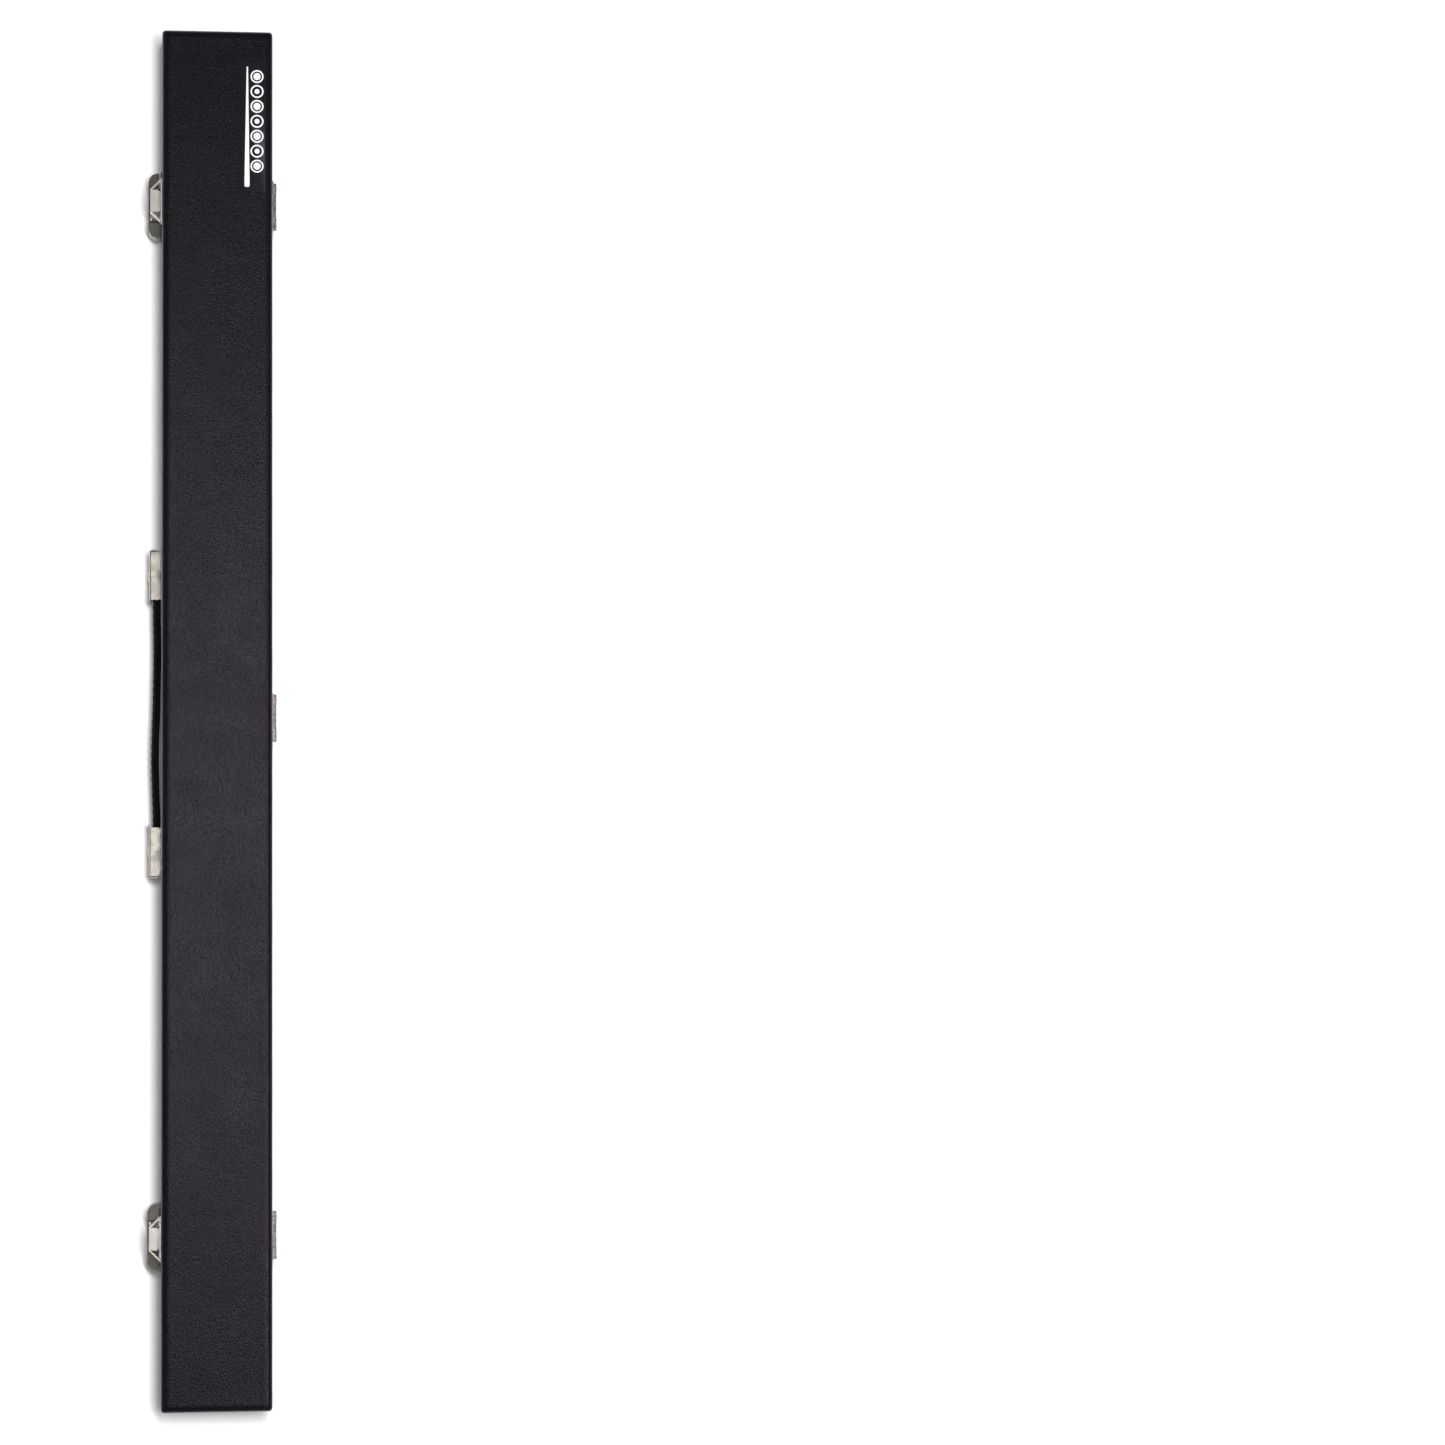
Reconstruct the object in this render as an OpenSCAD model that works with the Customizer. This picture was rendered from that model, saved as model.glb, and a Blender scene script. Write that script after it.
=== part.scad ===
// Hard case for a two-piece cue: a shallow base tray and a hinged lid, both made of
// boards covered with leatherette, held shut by two draw latches and carried by a strap.
// X runs along the case, the front wall with the latches and the handle faces -Y,
// the hinges are on the +Y wall, and Z is up. The origin is the centre of the underside.

/* [Case] */
// Length of the closed case
case_l = 840; // [780:5:900]
// Depth of the closed case from front wall to back wall
case_w = 67; // [66:1:80]
// Height of the base tray
base_h = 28; // [26:1:36]
// Height of the lid
lid_h = 20; // [18:1:28]
// Thickness of the wall boards
board_t = 4; // [3.5:0.5:5]
// Thickness of the top and bottom panels
panel_t = 3.2; // [3:0.2:5]
// Thickness of the leatherette covering
skin_t = 0.6; // [0.5:0.1:0.8]
// Radius of the lid's top edges
edge_r = 3.2; // [2:0.2:4]
// Radius of the case's upright corners
corner_r = 1.4; // [1:0.1:2]

/* [Inside] */
// Radius of the butt channel at its wide end
butt_r = 16; // [15:0.5:16.5]
// Radius of both channels where the joint ends of the two halves lie
joint_r = 12; // [11:0.5:12]
// Radius of the shaft channel at its narrow end
tip_r = 6.5; // [6:0.5:9]
// Length of the two channels
channel_l = 750; // [700:5:760]
// Length of the chalk pocket
pocket_l = 46; // [30:1:50]
// Thickness of the lid pad
pad_t = 3.3; // [2:0.1:4]
// Thickness of the wall lining
lining_t = 0.4; // [0.3:0.1:0.6]

/* [Hinges] */
// Distance of the outer hinges from the middle one
hinge_pitch = 315; // [250:5:360]
// Length of each hinge
hinge_l = 29; // [24:4:40]
// Height of each hinge leaf
leaf_h = 10; // [8:0.5:12]
// Thickness of the hinge leaves
leaf_t = 0.8; // [0.6:0.1:1]
// Distance of the hinge pin from the back wall
hinge_out = 1.55; // [1.5:0.05:2]
// Radius of the outer knuckles, rolled from the lid leaf
outer_knuckle_r = 1.45; // [1.4:0.05:1.5]
// Radius of the hinge pin
hinge_pin_r = 0.65; // [0.5:0.05:0.8]

/* [Latches] */
// Distance of each latch from the middle of the case
latch_pitch = 316; // [250:1:360]
// Depth that a closed latch stands out from the front wall
latch_out = 8.2; // [8:0.1:9]
// Width of the finger lever
lever_w = 40; // [36:1:44]
// Width of the strike plate
strike_w = 27; // [27:1:30]
// Thickness of the latch's sheet metal
sheet_t = 0.9; // [0.8:0.1:1]

/* [Handle] */
// Middle of the handle along the case
handle_x = -3; // [-10:1:10]
// Length of the handle over the side walls of its two caps
handle_l = 198.6; // [180:0.2:220]
// Length of each end cap's side walls
cap_l = 29.6; // [26:0.2:34]
// Depth that the caps stand out from the wall
cap_out = 7.5; // [7.3:0.1:8]
// Height of the caps
cap_h = 18; // [16:1:20]
// Height of the strap
strap_h = 15.6; // [12:0.2:16]

/* [Sticker] */
// Length of the sticker on the lid
sticker_l = 80; // [60:1:100]
// Width of the sticker
sticker_w = 17; // [16:1:20]

/* [Hidden] */
$fn = 48;
seam_gap = 0.2; // between the rims of the base and the lid
soft_gap = 0.3; // round the soft insert and the pad
running = 0.05; // radial clearance of a pin that turns
bore_l = 20; // length of a cut that goes right through a wall

rivet_r = 1; // shank of the small rivets
rivet_head_r = 2;
rivet_crown_r = 1.3;
rivet_head_h = 0.6;

seam_z = base_h;
top_z = base_h + lid_h;
front_y = -case_w / 2;
back_y = case_w / 2;
base_rim_z = seam_z - seam_gap / 2;
lid_rim_z = seam_z + seam_gap / 2;
board_l = case_l - 2 * skin_t;
board_w = case_w - 2 * skin_t;
inside_l = board_l - 2 * board_t;
inside_w = board_w - 2 * board_t;
floor_z = skin_t + panel_t;
ceiling_z = top_z - skin_t - panel_t;
base_board_top = base_rim_z - skin_t;
lid_board_bottom = lid_rim_z + skin_t;

insert_top = 24;
channel_z = insert_top + 0.5;
channel_end = 6; // foam left between the channels and the left end
butt_y = -10.5;
shaft_y = 15;
channel_x0 = channel_end - inside_l / 2;
pocket_wall = 8; // foam left between the channels and the pocket
pocket_w = 44;
pocket_floor = 3;
pocket_x0 = channel_x0 + channel_l + pocket_wall;
pad_z = ceiling_z - pad_t;

hinge_y = back_y + hinge_out;
inner_knuckle_r = outer_knuckle_r - 0.15;
knuckle_l = hinge_l / 4;
knuckle_gap = 0.15;
knuckle_root = 2.5; // height of the strip that joins a knuckle to its leaf
leaf_start = 2; // the flat of each leaf starts this far from the seam
hinge_xs = [-hinge_pitch, 0, hinge_pitch];
hinge_rivet_x = 9;
hinge_rivet_z = 6.4;
hinge_head_r = 1.8;
hinge_crown_r = 1.2;
hinge_head_h = 0.45;
OUTER_KNUCKLES = [
    [-2 * knuckle_l, -knuckle_l - knuckle_gap / 2],
    [knuckle_l + knuckle_gap / 2, 2 * knuckle_l],
];
INNER_KNUCKLES = [
    [-knuckle_l + knuckle_gap / 2, -knuckle_gap],
    [knuckle_gap, knuckle_l - knuckle_gap / 2],
];

ear_u = 9.4; // inner face of the base plate's ears
lever_pin_v = latch_out - 2;
lever_pin_z = 19;
lever_pin_r = 0.8;
eye_r = 1.9;
hasp_pin_v = lever_pin_v - 1;
hasp_pin_z = lever_pin_z - 4.5;
arm_u = 6.9; // inner face of the hasp's arms
arm_w = 2.1;
cheek_u = ear_u + sheet_t + 0.3;
lever_back = 1.9; // clearance of the lever from the wall, for its swing
lever_top = lever_pin_z + 1.8;
lever_bottom = 4;
flap_top = lever_bottom + 6.5;
lever_corner_r = 5.6;
plate_w = lever_w + 1;
plate_z0 = 3.5;
plate_z1 = 21.8;
base_rivet_u = 15;
base_rivet_z = 8;
loop_u = 7; // half the flat front of the hasp's loop
loop_z0 = 34;
loop_z1 = 40.5;
loop_tip = 1.1; // where the loop's wings end, off the wall
strike_z0 = 30.5;
strike_z1 = 43.5;
strike_rivet_u = 10.2;
strike_rivet_z = 41.2;
tongue_z = 37;
tongue_t = 0.8;
tongue_out = 5.6;
tongue_root = 1.7; // depth of the thicker fold where the tongue meets the plate
flange_z = tongue_z + tongue_t + 0.5;
flange_back = 2.4;

handle_z = 14;
cap_t = 0.6;
cap_gap = 0.8; // opening between a cap's side walls and the wall of the case
flap_bow = 1.2; // how far the bowed end flap reaches past the side walls
flap_r = 9;
lip_l = 2.3;
lip_t = 0.55;
lip_flare = 16;
back_plate_t = 0.6;
back_plate_rim = 0.3; // how far the back plate shows round the cap
handle_rivet_r = 1.4;
handle_head_r = 3;
handle_crown_r = 2;
handle_head_h = 0.7;
strap_ends = handle_l / 2 - 2.5;
strap_rest = 0.7;
strap_dip = 0.4;
strap_rise = 0.95;
DIP = [-67, -9];
RISE = [-15, 69];
strap_inner_t = 2.4;
strap_outer_t = 2.1;
stitch_pitch = 5;
stitch_row = 5.8;
stitch_l = 3.5;
stitch_t = 0.4;
stitch_h = 0.8;
stitch_sunk = 0.15;
washer_r = 3.4;
washer_t = 0.8;
cap_xs = [handle_x - handle_l / 2 + cap_l / 2, handle_x + handle_l / 2 - cap_l / 2];

sticker_t = 0.12;
mark_t = 0.05;
sticker_x = -361;
sticker_y = 21;

// ---------- helpers ----------

// A bar along X, with its middle at x = 0
module bar(l, y0, y1, z0, z1) {
    translate([-l / 2, y0, z0]) cube([l, y1 - y0, z1 - z0]);
}

// A box between two heights, centred on the case, with upright corners of radius r
module tray(l, w, r, z0, z1) {
    translate([0, 0, z0]) linear_extrude(z1 - z0) hull()
        for (x = [-1, 1], y = [-1, 1])
            translate([x * (l / 2 - r), y * (w / 2 - r)]) circle(r, $fn = 24);
}

// A closed block whose top edges are rounded with radius r
module pillow(l, w, z0, z1, r) {
    intersection() {
        hull() for (x = [-1, 1], y = [-1, 1]) {
            translate([x * (l / 2 - r), y * (w / 2 - r), z1 - r]) sphere(r, $fn = 32);
            translate([x * (l / 2 - corner_r), y * (w / 2 - corner_r), z1 - 2 * r - lid_h])
                cylinder(h = r + lid_h - 1, r = corner_r, $fn = 24);
        }
        bar(2 * l, -w, w, z0, z1 + 1);
    }
}

// Places children on the front wall: u along X, v out of the wall, z up
module on_front(x) {
    translate([x, front_y, 0]) mirror([0, 1, 0]) children();
}

// Places children at both sides, mirrored in X
module both() {
    children();
    mirror([1, 0, 0]) children();
}

// A pin along X between two places
module x_pin(u0, u1, v, z, r) {
    translate([u0, v, z]) rotate([0, 90, 0]) cylinder(h = u1 - u0, r = r);
}

// A rivet through the front wall, with a low domed head at height v on the outside
module front_rivet(u, z, v) {
    translate([u, v, z]) rotate([90, 0, 0]) cylinder(h = v + skin_t + board_t, r = rivet_r);
    translate([u, v, z]) rotate([-90, 0, 0])
        cylinder(h = rivet_head_h, r1 = rivet_head_r, r2 = rivet_crown_r);
}

// The hole that a front rivet goes through
module front_hole(u, z, r = rivet_r) {
    translate([u, bore_l / 2, z]) rotate([90, 0, 0]) cylinder(h = bore_l, r = r);
}

// ---------- places of the fasteners ----------

module at_latches() {
    for (s = [-1, 1]) on_front(s * latch_pitch) children();
}

module latch_base_holes() {
    at_latches() for (s = [-1, 1]) front_hole(s * base_rivet_u, base_rivet_z);
}

module latch_strike_holes() {
    at_latches() for (s = [-1, 1]) front_hole(s * strike_rivet_u, strike_rivet_z);
}

module handle_holes() {
    for (x = cap_xs) on_front(x) front_hole(0, handle_z, handle_rivet_r);
}

module washer_seats() {
    for (x = cap_xs) on_front(x)
        translate([0, -skin_t - board_t + washer_t, handle_z])
            rotate([90, 0, 0]) cylinder(h = washer_t + 1, r = washer_r);
}

module hinge_holes(side) {
    for (x = hinge_xs, s = [-1, 1])
        translate([x + s * hinge_rivet_x, back_y - bore_l / 2, seam_z + side * hinge_rivet_z])
            rotate([-90, 0, 0]) cylinder(h = bore_l, r = rivet_r);
}

// ---------- base ----------

module base_front_board() color("tan") difference() {
    bar(board_l, -board_w / 2, -inside_w / 2, skin_t, base_board_top);
    latch_base_holes();
    handle_holes();
    washer_seats();
}

module base_back_board() color("tan") difference() {
    bar(board_l, inside_w / 2, board_w / 2, skin_t, base_board_top);
    hinge_holes(-1);
}

module end_board(s, z0, z1) {
    translate([s * (inside_l + board_t) / 2, 0, 0])
        bar(board_t, -inside_w / 2, inside_w / 2, z0, z1);
}

module base_left_board() color("tan") end_board(-1, skin_t, base_board_top);

module base_right_board() color("tan") end_board(1, skin_t, base_board_top);

module base_bottom_panel() color("tan")
    bar(inside_l, -inside_w / 2, inside_w / 2, skin_t, floor_z);

module bottom_covering() color("#26242a")
    tray(case_l, case_w, corner_r, 0, skin_t);

// Leatherette on the four walls of the base, turned in over the rim
module base_covering() color("#2e2c32") difference() {
    tray(case_l, case_w, corner_r, skin_t, base_rim_z);
    bar(board_l, -board_w / 2, board_w / 2, 0, base_board_top);
    bar(inside_l, -inside_w / 2, inside_w / 2, 0, top_z);
    latch_base_holes();
    handle_holes();
    hinge_holes(-1);
}

module base_lining() color("#1d1c22") difference() {
    bar(inside_l, -inside_w / 2, inside_w / 2, insert_top + 0.1, base_rim_z - 0.1);
    bar(inside_l - 2 * lining_t, lining_t - inside_w / 2, inside_w / 2 - lining_t, 0, top_z);
}

// One foam block with a tapered channel for each half of the cue and a chalk pocket
module base_insert() color("#3a3948") difference() {
    bar(inside_l - 2 * soft_gap, soft_gap - inside_w / 2, inside_w / 2 - soft_gap,
        floor_z, insert_top);
    translate([channel_x0, butt_y, channel_z]) rotate([0, 90, 0])
        cylinder(h = channel_l, r1 = butt_r, r2 = joint_r);
    translate([channel_x0, shaft_y, channel_z]) rotate([0, 90, 0])
        cylinder(h = channel_l, r1 = tip_r, r2 = joint_r);
    translate([pocket_x0, -pocket_w / 2, floor_z + pocket_floor])
        cube([pocket_l, pocket_w, insert_top]);
}

// ---------- lid ----------

module lid_front_board() color("tan") difference() {
    bar(board_l, -board_w / 2, -inside_w / 2, lid_board_bottom, ceiling_z);
    latch_strike_holes();
}

module lid_back_board() color("tan") difference() {
    bar(board_l, inside_w / 2, board_w / 2, lid_board_bottom, ceiling_z);
    hinge_holes(1);
}

module lid_left_board() color("tan") end_board(-1, lid_board_bottom, ceiling_z);

module lid_right_board() color("tan") end_board(1, lid_board_bottom, ceiling_z);

// The panel lies on the boards, and its edges are rounded under the covering
module lid_top_panel() color("tan")
    pillow(board_l, board_w, ceiling_z, top_z - skin_t, edge_r - skin_t);

// Leatherette over the top and the four walls of the lid, turned in at the rim
module lid_covering() color("#35333a") difference() {
    pillow(case_l, case_w, lid_rim_z, top_z, edge_r);
    bar(board_l, -board_w / 2, board_w / 2, lid_board_bottom, ceiling_z);
    pillow(board_l, board_w, ceiling_z - 0.1, top_z - skin_t, edge_r - skin_t);
    bar(inside_l, -inside_w / 2, inside_w / 2, 0, ceiling_z);
    latch_strike_holes();
    hinge_holes(1);
}

module lid_lining() color("#1d1c22") difference() {
    bar(inside_l, -inside_w / 2, inside_w / 2, lid_rim_z + 0.1, pad_z - 0.2);
    bar(inside_l - 2 * lining_t, lining_t - inside_w / 2, inside_w / 2 - lining_t, 0, top_z);
}

module lid_pad() color("#3a3948")
    bar(inside_l - 2 * soft_gap, soft_gap - inside_w / 2, inside_w / 2 - soft_gap,
        pad_z, ceiling_z);

// ---------- hinges ----------

// side is -1 for the base leaf and 1 for the lid leaf; the knuckles fill [x0, x1] ranges
module leaf(x, side, knuckles, r) {
    flat_h = leaf_h - 1;
    translate([x, 0, 0]) difference() {
        union() {
            translate([-hinge_l / 2, back_y, seam_z + (side > 0 ? leaf_start : -leaf_start - flat_h)])
                cube([hinge_l, leaf_t, flat_h]);
            for (k = knuckles) {
                translate([k[0], back_y, seam_z - (side > 0 ? 0 : knuckle_root)])
                    cube([k[1] - k[0], leaf_t, knuckle_root]);
                translate([k[0], hinge_y, seam_z]) rotate([0, 90, 0])
                    cylinder(h = k[1] - k[0], r = r);
            }
        }
        translate([-hinge_l, hinge_y, seam_z]) rotate([0, 90, 0])
            cylinder(h = 2 * hinge_l, r = hinge_pin_r + (side > 0 ? running : 0));
        for (s = [-1, 1])
            translate([s * hinge_rivet_x, back_y - bore_l / 2, seam_z + side * hinge_rivet_z])
                rotate([-90, 0, 0]) cylinder(h = bore_l, r = rivet_r);
    }
}

module base_leaf(x) color("#c9c1b4") leaf(x, -1, INNER_KNUCKLES, inner_knuckle_r);

module lid_leaf(x) color("#c9c1b4") leaf(x, 1, OUTER_KNUCKLES, outer_knuckle_r);

module hinge_pin(x) color("#a8a195")
    translate([x - hinge_l / 2 + 0.3, hinge_y, seam_z]) rotate([0, 90, 0])
        cylinder(h = hinge_l - 0.6, r = hinge_pin_r);

module hinge_rivets(side) color("#b8b0a3")
    for (x = hinge_xs, s = [-1, 1])
        translate([x + s * hinge_rivet_x, back_y, seam_z + side * hinge_rivet_z]) {
            translate([0, -skin_t - board_t, 0]) rotate([-90, 0, 0])
                cylinder(h = skin_t + board_t + leaf_t, r = rivet_r);
            translate([0, leaf_t, 0]) rotate([-90, 0, 0])
                cylinder(h = hinge_head_h, r1 = hinge_head_r, r2 = hinge_crown_r);
        }

// ---------- latches ----------

// The plan of the lever: a flat front with rounded corners, open towards the wall
module lever_plan(inset) {
    r = lever_corner_r - inset;
    v1 = latch_out - inset;
    w = lever_w / 2 - inset;
    intersection() {
        union() {
            translate([r - w, lever_back]) square([2 * (w - r), v1 - lever_back]);
            for (s = [-1, 1]) translate([s * (w - r), v1 - r]) circle(r);
        }
        translate([-w - 1, lever_back]) square([2 * w + 2, 20]);
    }
}

module latch_base_plate(x) color("#b8b0a3") on_front(x) {
    difference() {
        bar(plate_w, 0, sheet_t, plate_z0, plate_z1);
        for (s = [-1, 1]) front_hole(s * base_rivet_u, base_rivet_z);
    }
    both() difference() {
        union() {
            translate([ear_u, 0, lever_pin_z - eye_r])
                cube([sheet_t, lever_pin_v, 2 * eye_r]);
            x_pin(ear_u, ear_u + sheet_t, lever_pin_v, lever_pin_z, eye_r);
        }
        x_pin(ear_u - 1, ear_u + 3, lever_pin_v, lever_pin_z, lever_pin_r);
    }
}

module latch_lever(x) color("#c4bcb0") on_front(x) difference() {
    union() {
        difference() {
            translate([0, 0, lever_bottom]) linear_extrude(lever_top - lever_bottom)
                lever_plan(0);
            translate([0, 0, lever_bottom - 1])
                linear_extrude(lever_top - lever_bottom + 1 - sheet_t) lever_plan(sheet_t);
            bar(lever_w - 2 * sheet_t, 0, lever_back + sheet_t + 1,
                0, lever_top - sheet_t);
            bar(2 * cheek_u + 2 * sheet_t - 0.4, 0, 20, flap_top, 30);
        }
        both() translate([cheek_u, lever_back, flap_top - 1])
            cube([sheet_t, latch_out - lever_back - 0.2, lever_top - flap_top + 1]);
    }
    x_pin(-30, 30, lever_pin_v, lever_pin_z, lever_pin_r + running);
    x_pin(-30, 30, hasp_pin_v, hasp_pin_z, lever_pin_r);
}

// Plan of the hasp's loop: a flat front and two wings at 45 degrees
module loop_plan() {
    v1 = latch_out - 1;
    tip_u = loop_u + v1 - loop_tip;
    d = sheet_t * (sqrt(2) - 1);
    polygon([
        [-tip_u, loop_tip], [-loop_u, v1], [loop_u, v1], [tip_u, loop_tip],
        [tip_u - sheet_t * sqrt(2), loop_tip], [loop_u - d, v1 - sheet_t],
        [d - loop_u, v1 - sheet_t], [sheet_t * sqrt(2) - tip_u, loop_tip],
    ]);
}

module latch_hasp(x) color("#d2cabe") on_front(x) difference() {
    union() {
        translate([0, 0, loop_z0]) linear_extrude(loop_z1 - loop_z0) loop_plan();
        bar(2 * loop_u - 0.4, flange_back, latch_out - 1.4, flange_z, flange_z + sheet_t);
        both() {
            translate([arm_u, hasp_pin_v, hasp_pin_z])
                cube([arm_w, sheet_t, loop_z0 - hasp_pin_z + 1]);
            x_pin(arm_u, arm_u + arm_w, hasp_pin_v, hasp_pin_z, eye_r);
        }
    }
    x_pin(-30, 30, hasp_pin_v, hasp_pin_z, lever_pin_r + running);
}

// A plate with a tongue that the hasp's flange pulls down on
module latch_strike(x) color("#d8d1c6") on_front(x) difference() {
    union() {
        bar(strike_w, 0, sheet_t, strike_z0, strike_z1);
        bar(2 * loop_u - 1.4, 0, tongue_out, tongue_z, tongue_z + tongue_t);
        bar(2 * loop_u - 1.4, 0, tongue_root, tongue_z - 2 * tongue_t, tongue_z + tongue_t);
    }
    for (s = [-1, 1]) front_hole(s * strike_rivet_u, strike_rivet_z);
}

module latch_lever_pins(x) color("#a8a195") on_front(x) both()
    x_pin(ear_u - 0.15, cheek_u + sheet_t + 0.4, lever_pin_v, lever_pin_z, lever_pin_r);

module latch_hasp_pins(x) color("#a8a195") on_front(x) both()
    x_pin(arm_u - 0.3, cheek_u + sheet_t + 0.4, hasp_pin_v, hasp_pin_z, lever_pin_r);

module latch_base_rivets() color("#b8b0a3")
    at_latches() for (s = [-1, 1]) front_rivet(s * base_rivet_u, base_rivet_z, sheet_t);

module latch_strike_rivets() color("#b8b0a3")
    at_latches() for (s = [-1, 1]) front_rivet(s * strike_rivet_u, strike_rivet_z, sheet_t);

// ---------- handle ----------

// A folded cap with a flared lip where the strap comes out; cap 1 is the mirror of cap 0
module handle_cap(i) {
    z0 = handle_z - cap_h / 2;
    z1 = handle_z + cap_h / 2;
    color("#d2cabe") on_front(cap_xs[i]) mirror([i, 0, 0]) difference() {
        union() {
            translate([-0.3, 0, 0]) bar(cap_l + 0.6, cap_out - cap_t, cap_out, z0, z1);
            bar(cap_l, cap_gap, cap_out, z1 - cap_t, z1);
            bar(cap_l, cap_gap, cap_out, z0, z0 + cap_t);
            translate([cap_l / 2 - 0.3, cap_out - cap_t, z0 + 1]) rotate([0, 0, lip_flare])
                cube([lip_l, lip_t, cap_h - 2]);
            end_flap(z0 + cap_t + 0.4, z1 - cap_t - 0.4);
        }
        front_hole(0, handle_z, handle_rivet_r);
    }
}

// The cap's end flap: a bowed sheet from the outer face back to the wall
module end_flap(z0, z1) {
    mid_v = (cap_gap + cap_out) / 2;
    translate([flap_r - cap_l / 2 - flap_bow, mid_v, z0]) intersection() {
        difference() {
            cylinder(h = z1 - z0, r = flap_r, $fn = 96);
            translate([0, 0, -1]) cylinder(h = z1 - z0 + 2, r = flap_r - cap_t, $fn = 96);
        }
        translate([-flap_r - 1, cap_gap - mid_v, 0])
            cube([3, cap_out - cap_gap - 0.2, z1 - z0]);
    }
}

module handle_back_plate(i) color("#c9c1b4") on_front(cap_xs[i]) difference() {
    bar(cap_l + 2 * back_plate_rim, 0, back_plate_t,
        handle_z - cap_h / 2 - back_plate_rim, handle_z + cap_h / 2 + back_plate_rim);
    front_hole(0, handle_z, handle_rivet_r);
}

// A smooth bump of height 1 between a and b
function bump(x, a, b) = x > a && x < b ? pow(sin(180 * (x - a) / (b - a)), 2) : 0;

// How far the strap's inner face stands off the wall along the case: it comes close to
// the wall in the left half and bows out in the right half
function strap_off(x) = strap_rest
    - strap_dip * bump(x - handle_x, DIP[0], DIP[1])
    + strap_rise * bump(x - handle_x, RISE[0], RISE[1]);

module strap_layer(v0, v1, h) {
    n = 44;
    xs = [for (i = [0:n]) handle_x - strap_ends + 2 * strap_ends * i / n];
    on_front(0) translate([0, 0, handle_z - h / 2]) linear_extrude(h) polygon(concat(
        [for (x = xs) [x, strap_off(x) + v0]],
        [for (i = [n:-1:0]) [xs[i], strap_off(xs[i]) + v1]]
    ));
}

module handle_strap_inner() color("#0c0c0e") difference() {
    strap_layer(0, strap_inner_t, strap_h);
    handle_holes();
}

module handle_strap_outer() color("#2b2829") difference() {
    strap_layer(strap_inner_t, strap_inner_t + strap_outer_t, strap_h - 0.4);
    handle_holes();
    stitches();
}

module handle_stitching() color("#141416") stitches();

// Two rows of stitches bedded in the strap's outer face, between the caps
module stitches() {
    span = handle_l / 2 - cap_l - 1;
    count = floor(2 * span / stitch_pitch);
    for (i = [0:count - 1], s = [-1, 1]) {
        x = handle_x + (i - (count - 1) / 2) * stitch_pitch;
        v = strap_off(x) + strap_inner_t + strap_outer_t;
        slope = atan2(strap_off(x + 1) - strap_off(x - 1), 2);
        on_front(x) translate([0, v, handle_z + s * stitch_row]) rotate([0, 0, slope])
            translate([-stitch_l / 2, -stitch_sunk, -stitch_h / 2])
                cube([stitch_l, stitch_t, stitch_h]);
    }
}

module handle_rivets() color("#d2cabe")
    for (x = cap_xs) on_front(x) {
        translate([0, cap_out, handle_z]) rotate([90, 0, 0])
            cylinder(h = cap_out + skin_t + board_t, r = handle_rivet_r);
        translate([0, cap_out, handle_z]) rotate([-90, 0, 0])
            cylinder(h = handle_head_h, r1 = handle_head_r, r2 = handle_crown_r);
    }

module handle_washers() color("#a8a195")
    for (x = cap_xs) on_front(x) difference() {
        translate([0, -skin_t - board_t + washer_t, handle_z]) rotate([90, 0, 0])
            cylinder(h = washer_t, r = washer_r);
        front_hole(0, handle_z, handle_rivet_r);
    }

// ---------- sticker ----------

module sticker() color("#2c2a30")
    translate([sticker_x - sticker_l / 2, sticker_y - sticker_w / 2, top_z])
        cube([sticker_l, sticker_w, sticker_t]);

// A plain cue shape with two balls beside it
module sticker_mark() color("white")
    translate([sticker_x, sticker_y, top_z + sticker_t]) linear_extrude(mark_t) {
        polygon([[-37, -3.4], [37, -4.6], [37, -1.6], [-37, -2.4]]);
        for (x = [-30, -19]) translate([x, 3]) circle(3.6);
    }

base_front_board();
base_back_board();
base_left_board();
base_right_board();
base_bottom_panel();
base_covering();
bottom_covering();
base_lining();
base_insert();
lid_front_board();
lid_back_board();
lid_left_board();
lid_right_board();
lid_top_panel();
lid_covering();
lid_lining();
lid_pad();
base_leaf(-hinge_pitch);  // hinge_left_base_leaf
base_leaf(0);  // hinge_middle_base_leaf
base_leaf(hinge_pitch);  // hinge_right_base_leaf
lid_leaf(-hinge_pitch);  // hinge_left_lid_leaf
lid_leaf(0);  // hinge_middle_lid_leaf
lid_leaf(hinge_pitch);  // hinge_right_lid_leaf
hinge_pin(-hinge_pitch);  // hinge_left_pin
hinge_pin(0);  // hinge_middle_pin
hinge_pin(hinge_pitch);  // hinge_right_pin
hinge_rivets(-1);  // hinge_base_rivets
hinge_rivets(1);  // hinge_lid_rivets
latch_base_plate(-latch_pitch);  // latch_left_base_plate
latch_base_plate(latch_pitch);  // latch_right_base_plate
latch_lever(-latch_pitch);  // latch_left_lever
latch_lever(latch_pitch);  // latch_right_lever
latch_hasp(-latch_pitch);  // latch_left_hasp
latch_hasp(latch_pitch);  // latch_right_hasp
latch_strike(-latch_pitch);  // latch_left_strike
latch_strike(latch_pitch);  // latch_right_strike
latch_lever_pins(-latch_pitch);  // latch_left_lever_pins
latch_lever_pins(latch_pitch);  // latch_right_lever_pins
latch_hasp_pins(-latch_pitch);  // latch_left_hasp_pins
latch_hasp_pins(latch_pitch);  // latch_right_hasp_pins
latch_base_rivets();
latch_strike_rivets();
handle_cap(0);  // handle_left_cap
handle_cap(1);  // handle_right_cap
handle_back_plate(0);  // handle_left_back_plate
handle_back_plate(1);  // handle_right_back_plate
handle_strap_outer();
handle_strap_inner();
handle_stitching();
handle_rivets();
handle_washers();
sticker();
sticker_mark();
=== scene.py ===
import math

import bmesh
import bpy
from mathutils import Matrix, Vector, noise


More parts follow.
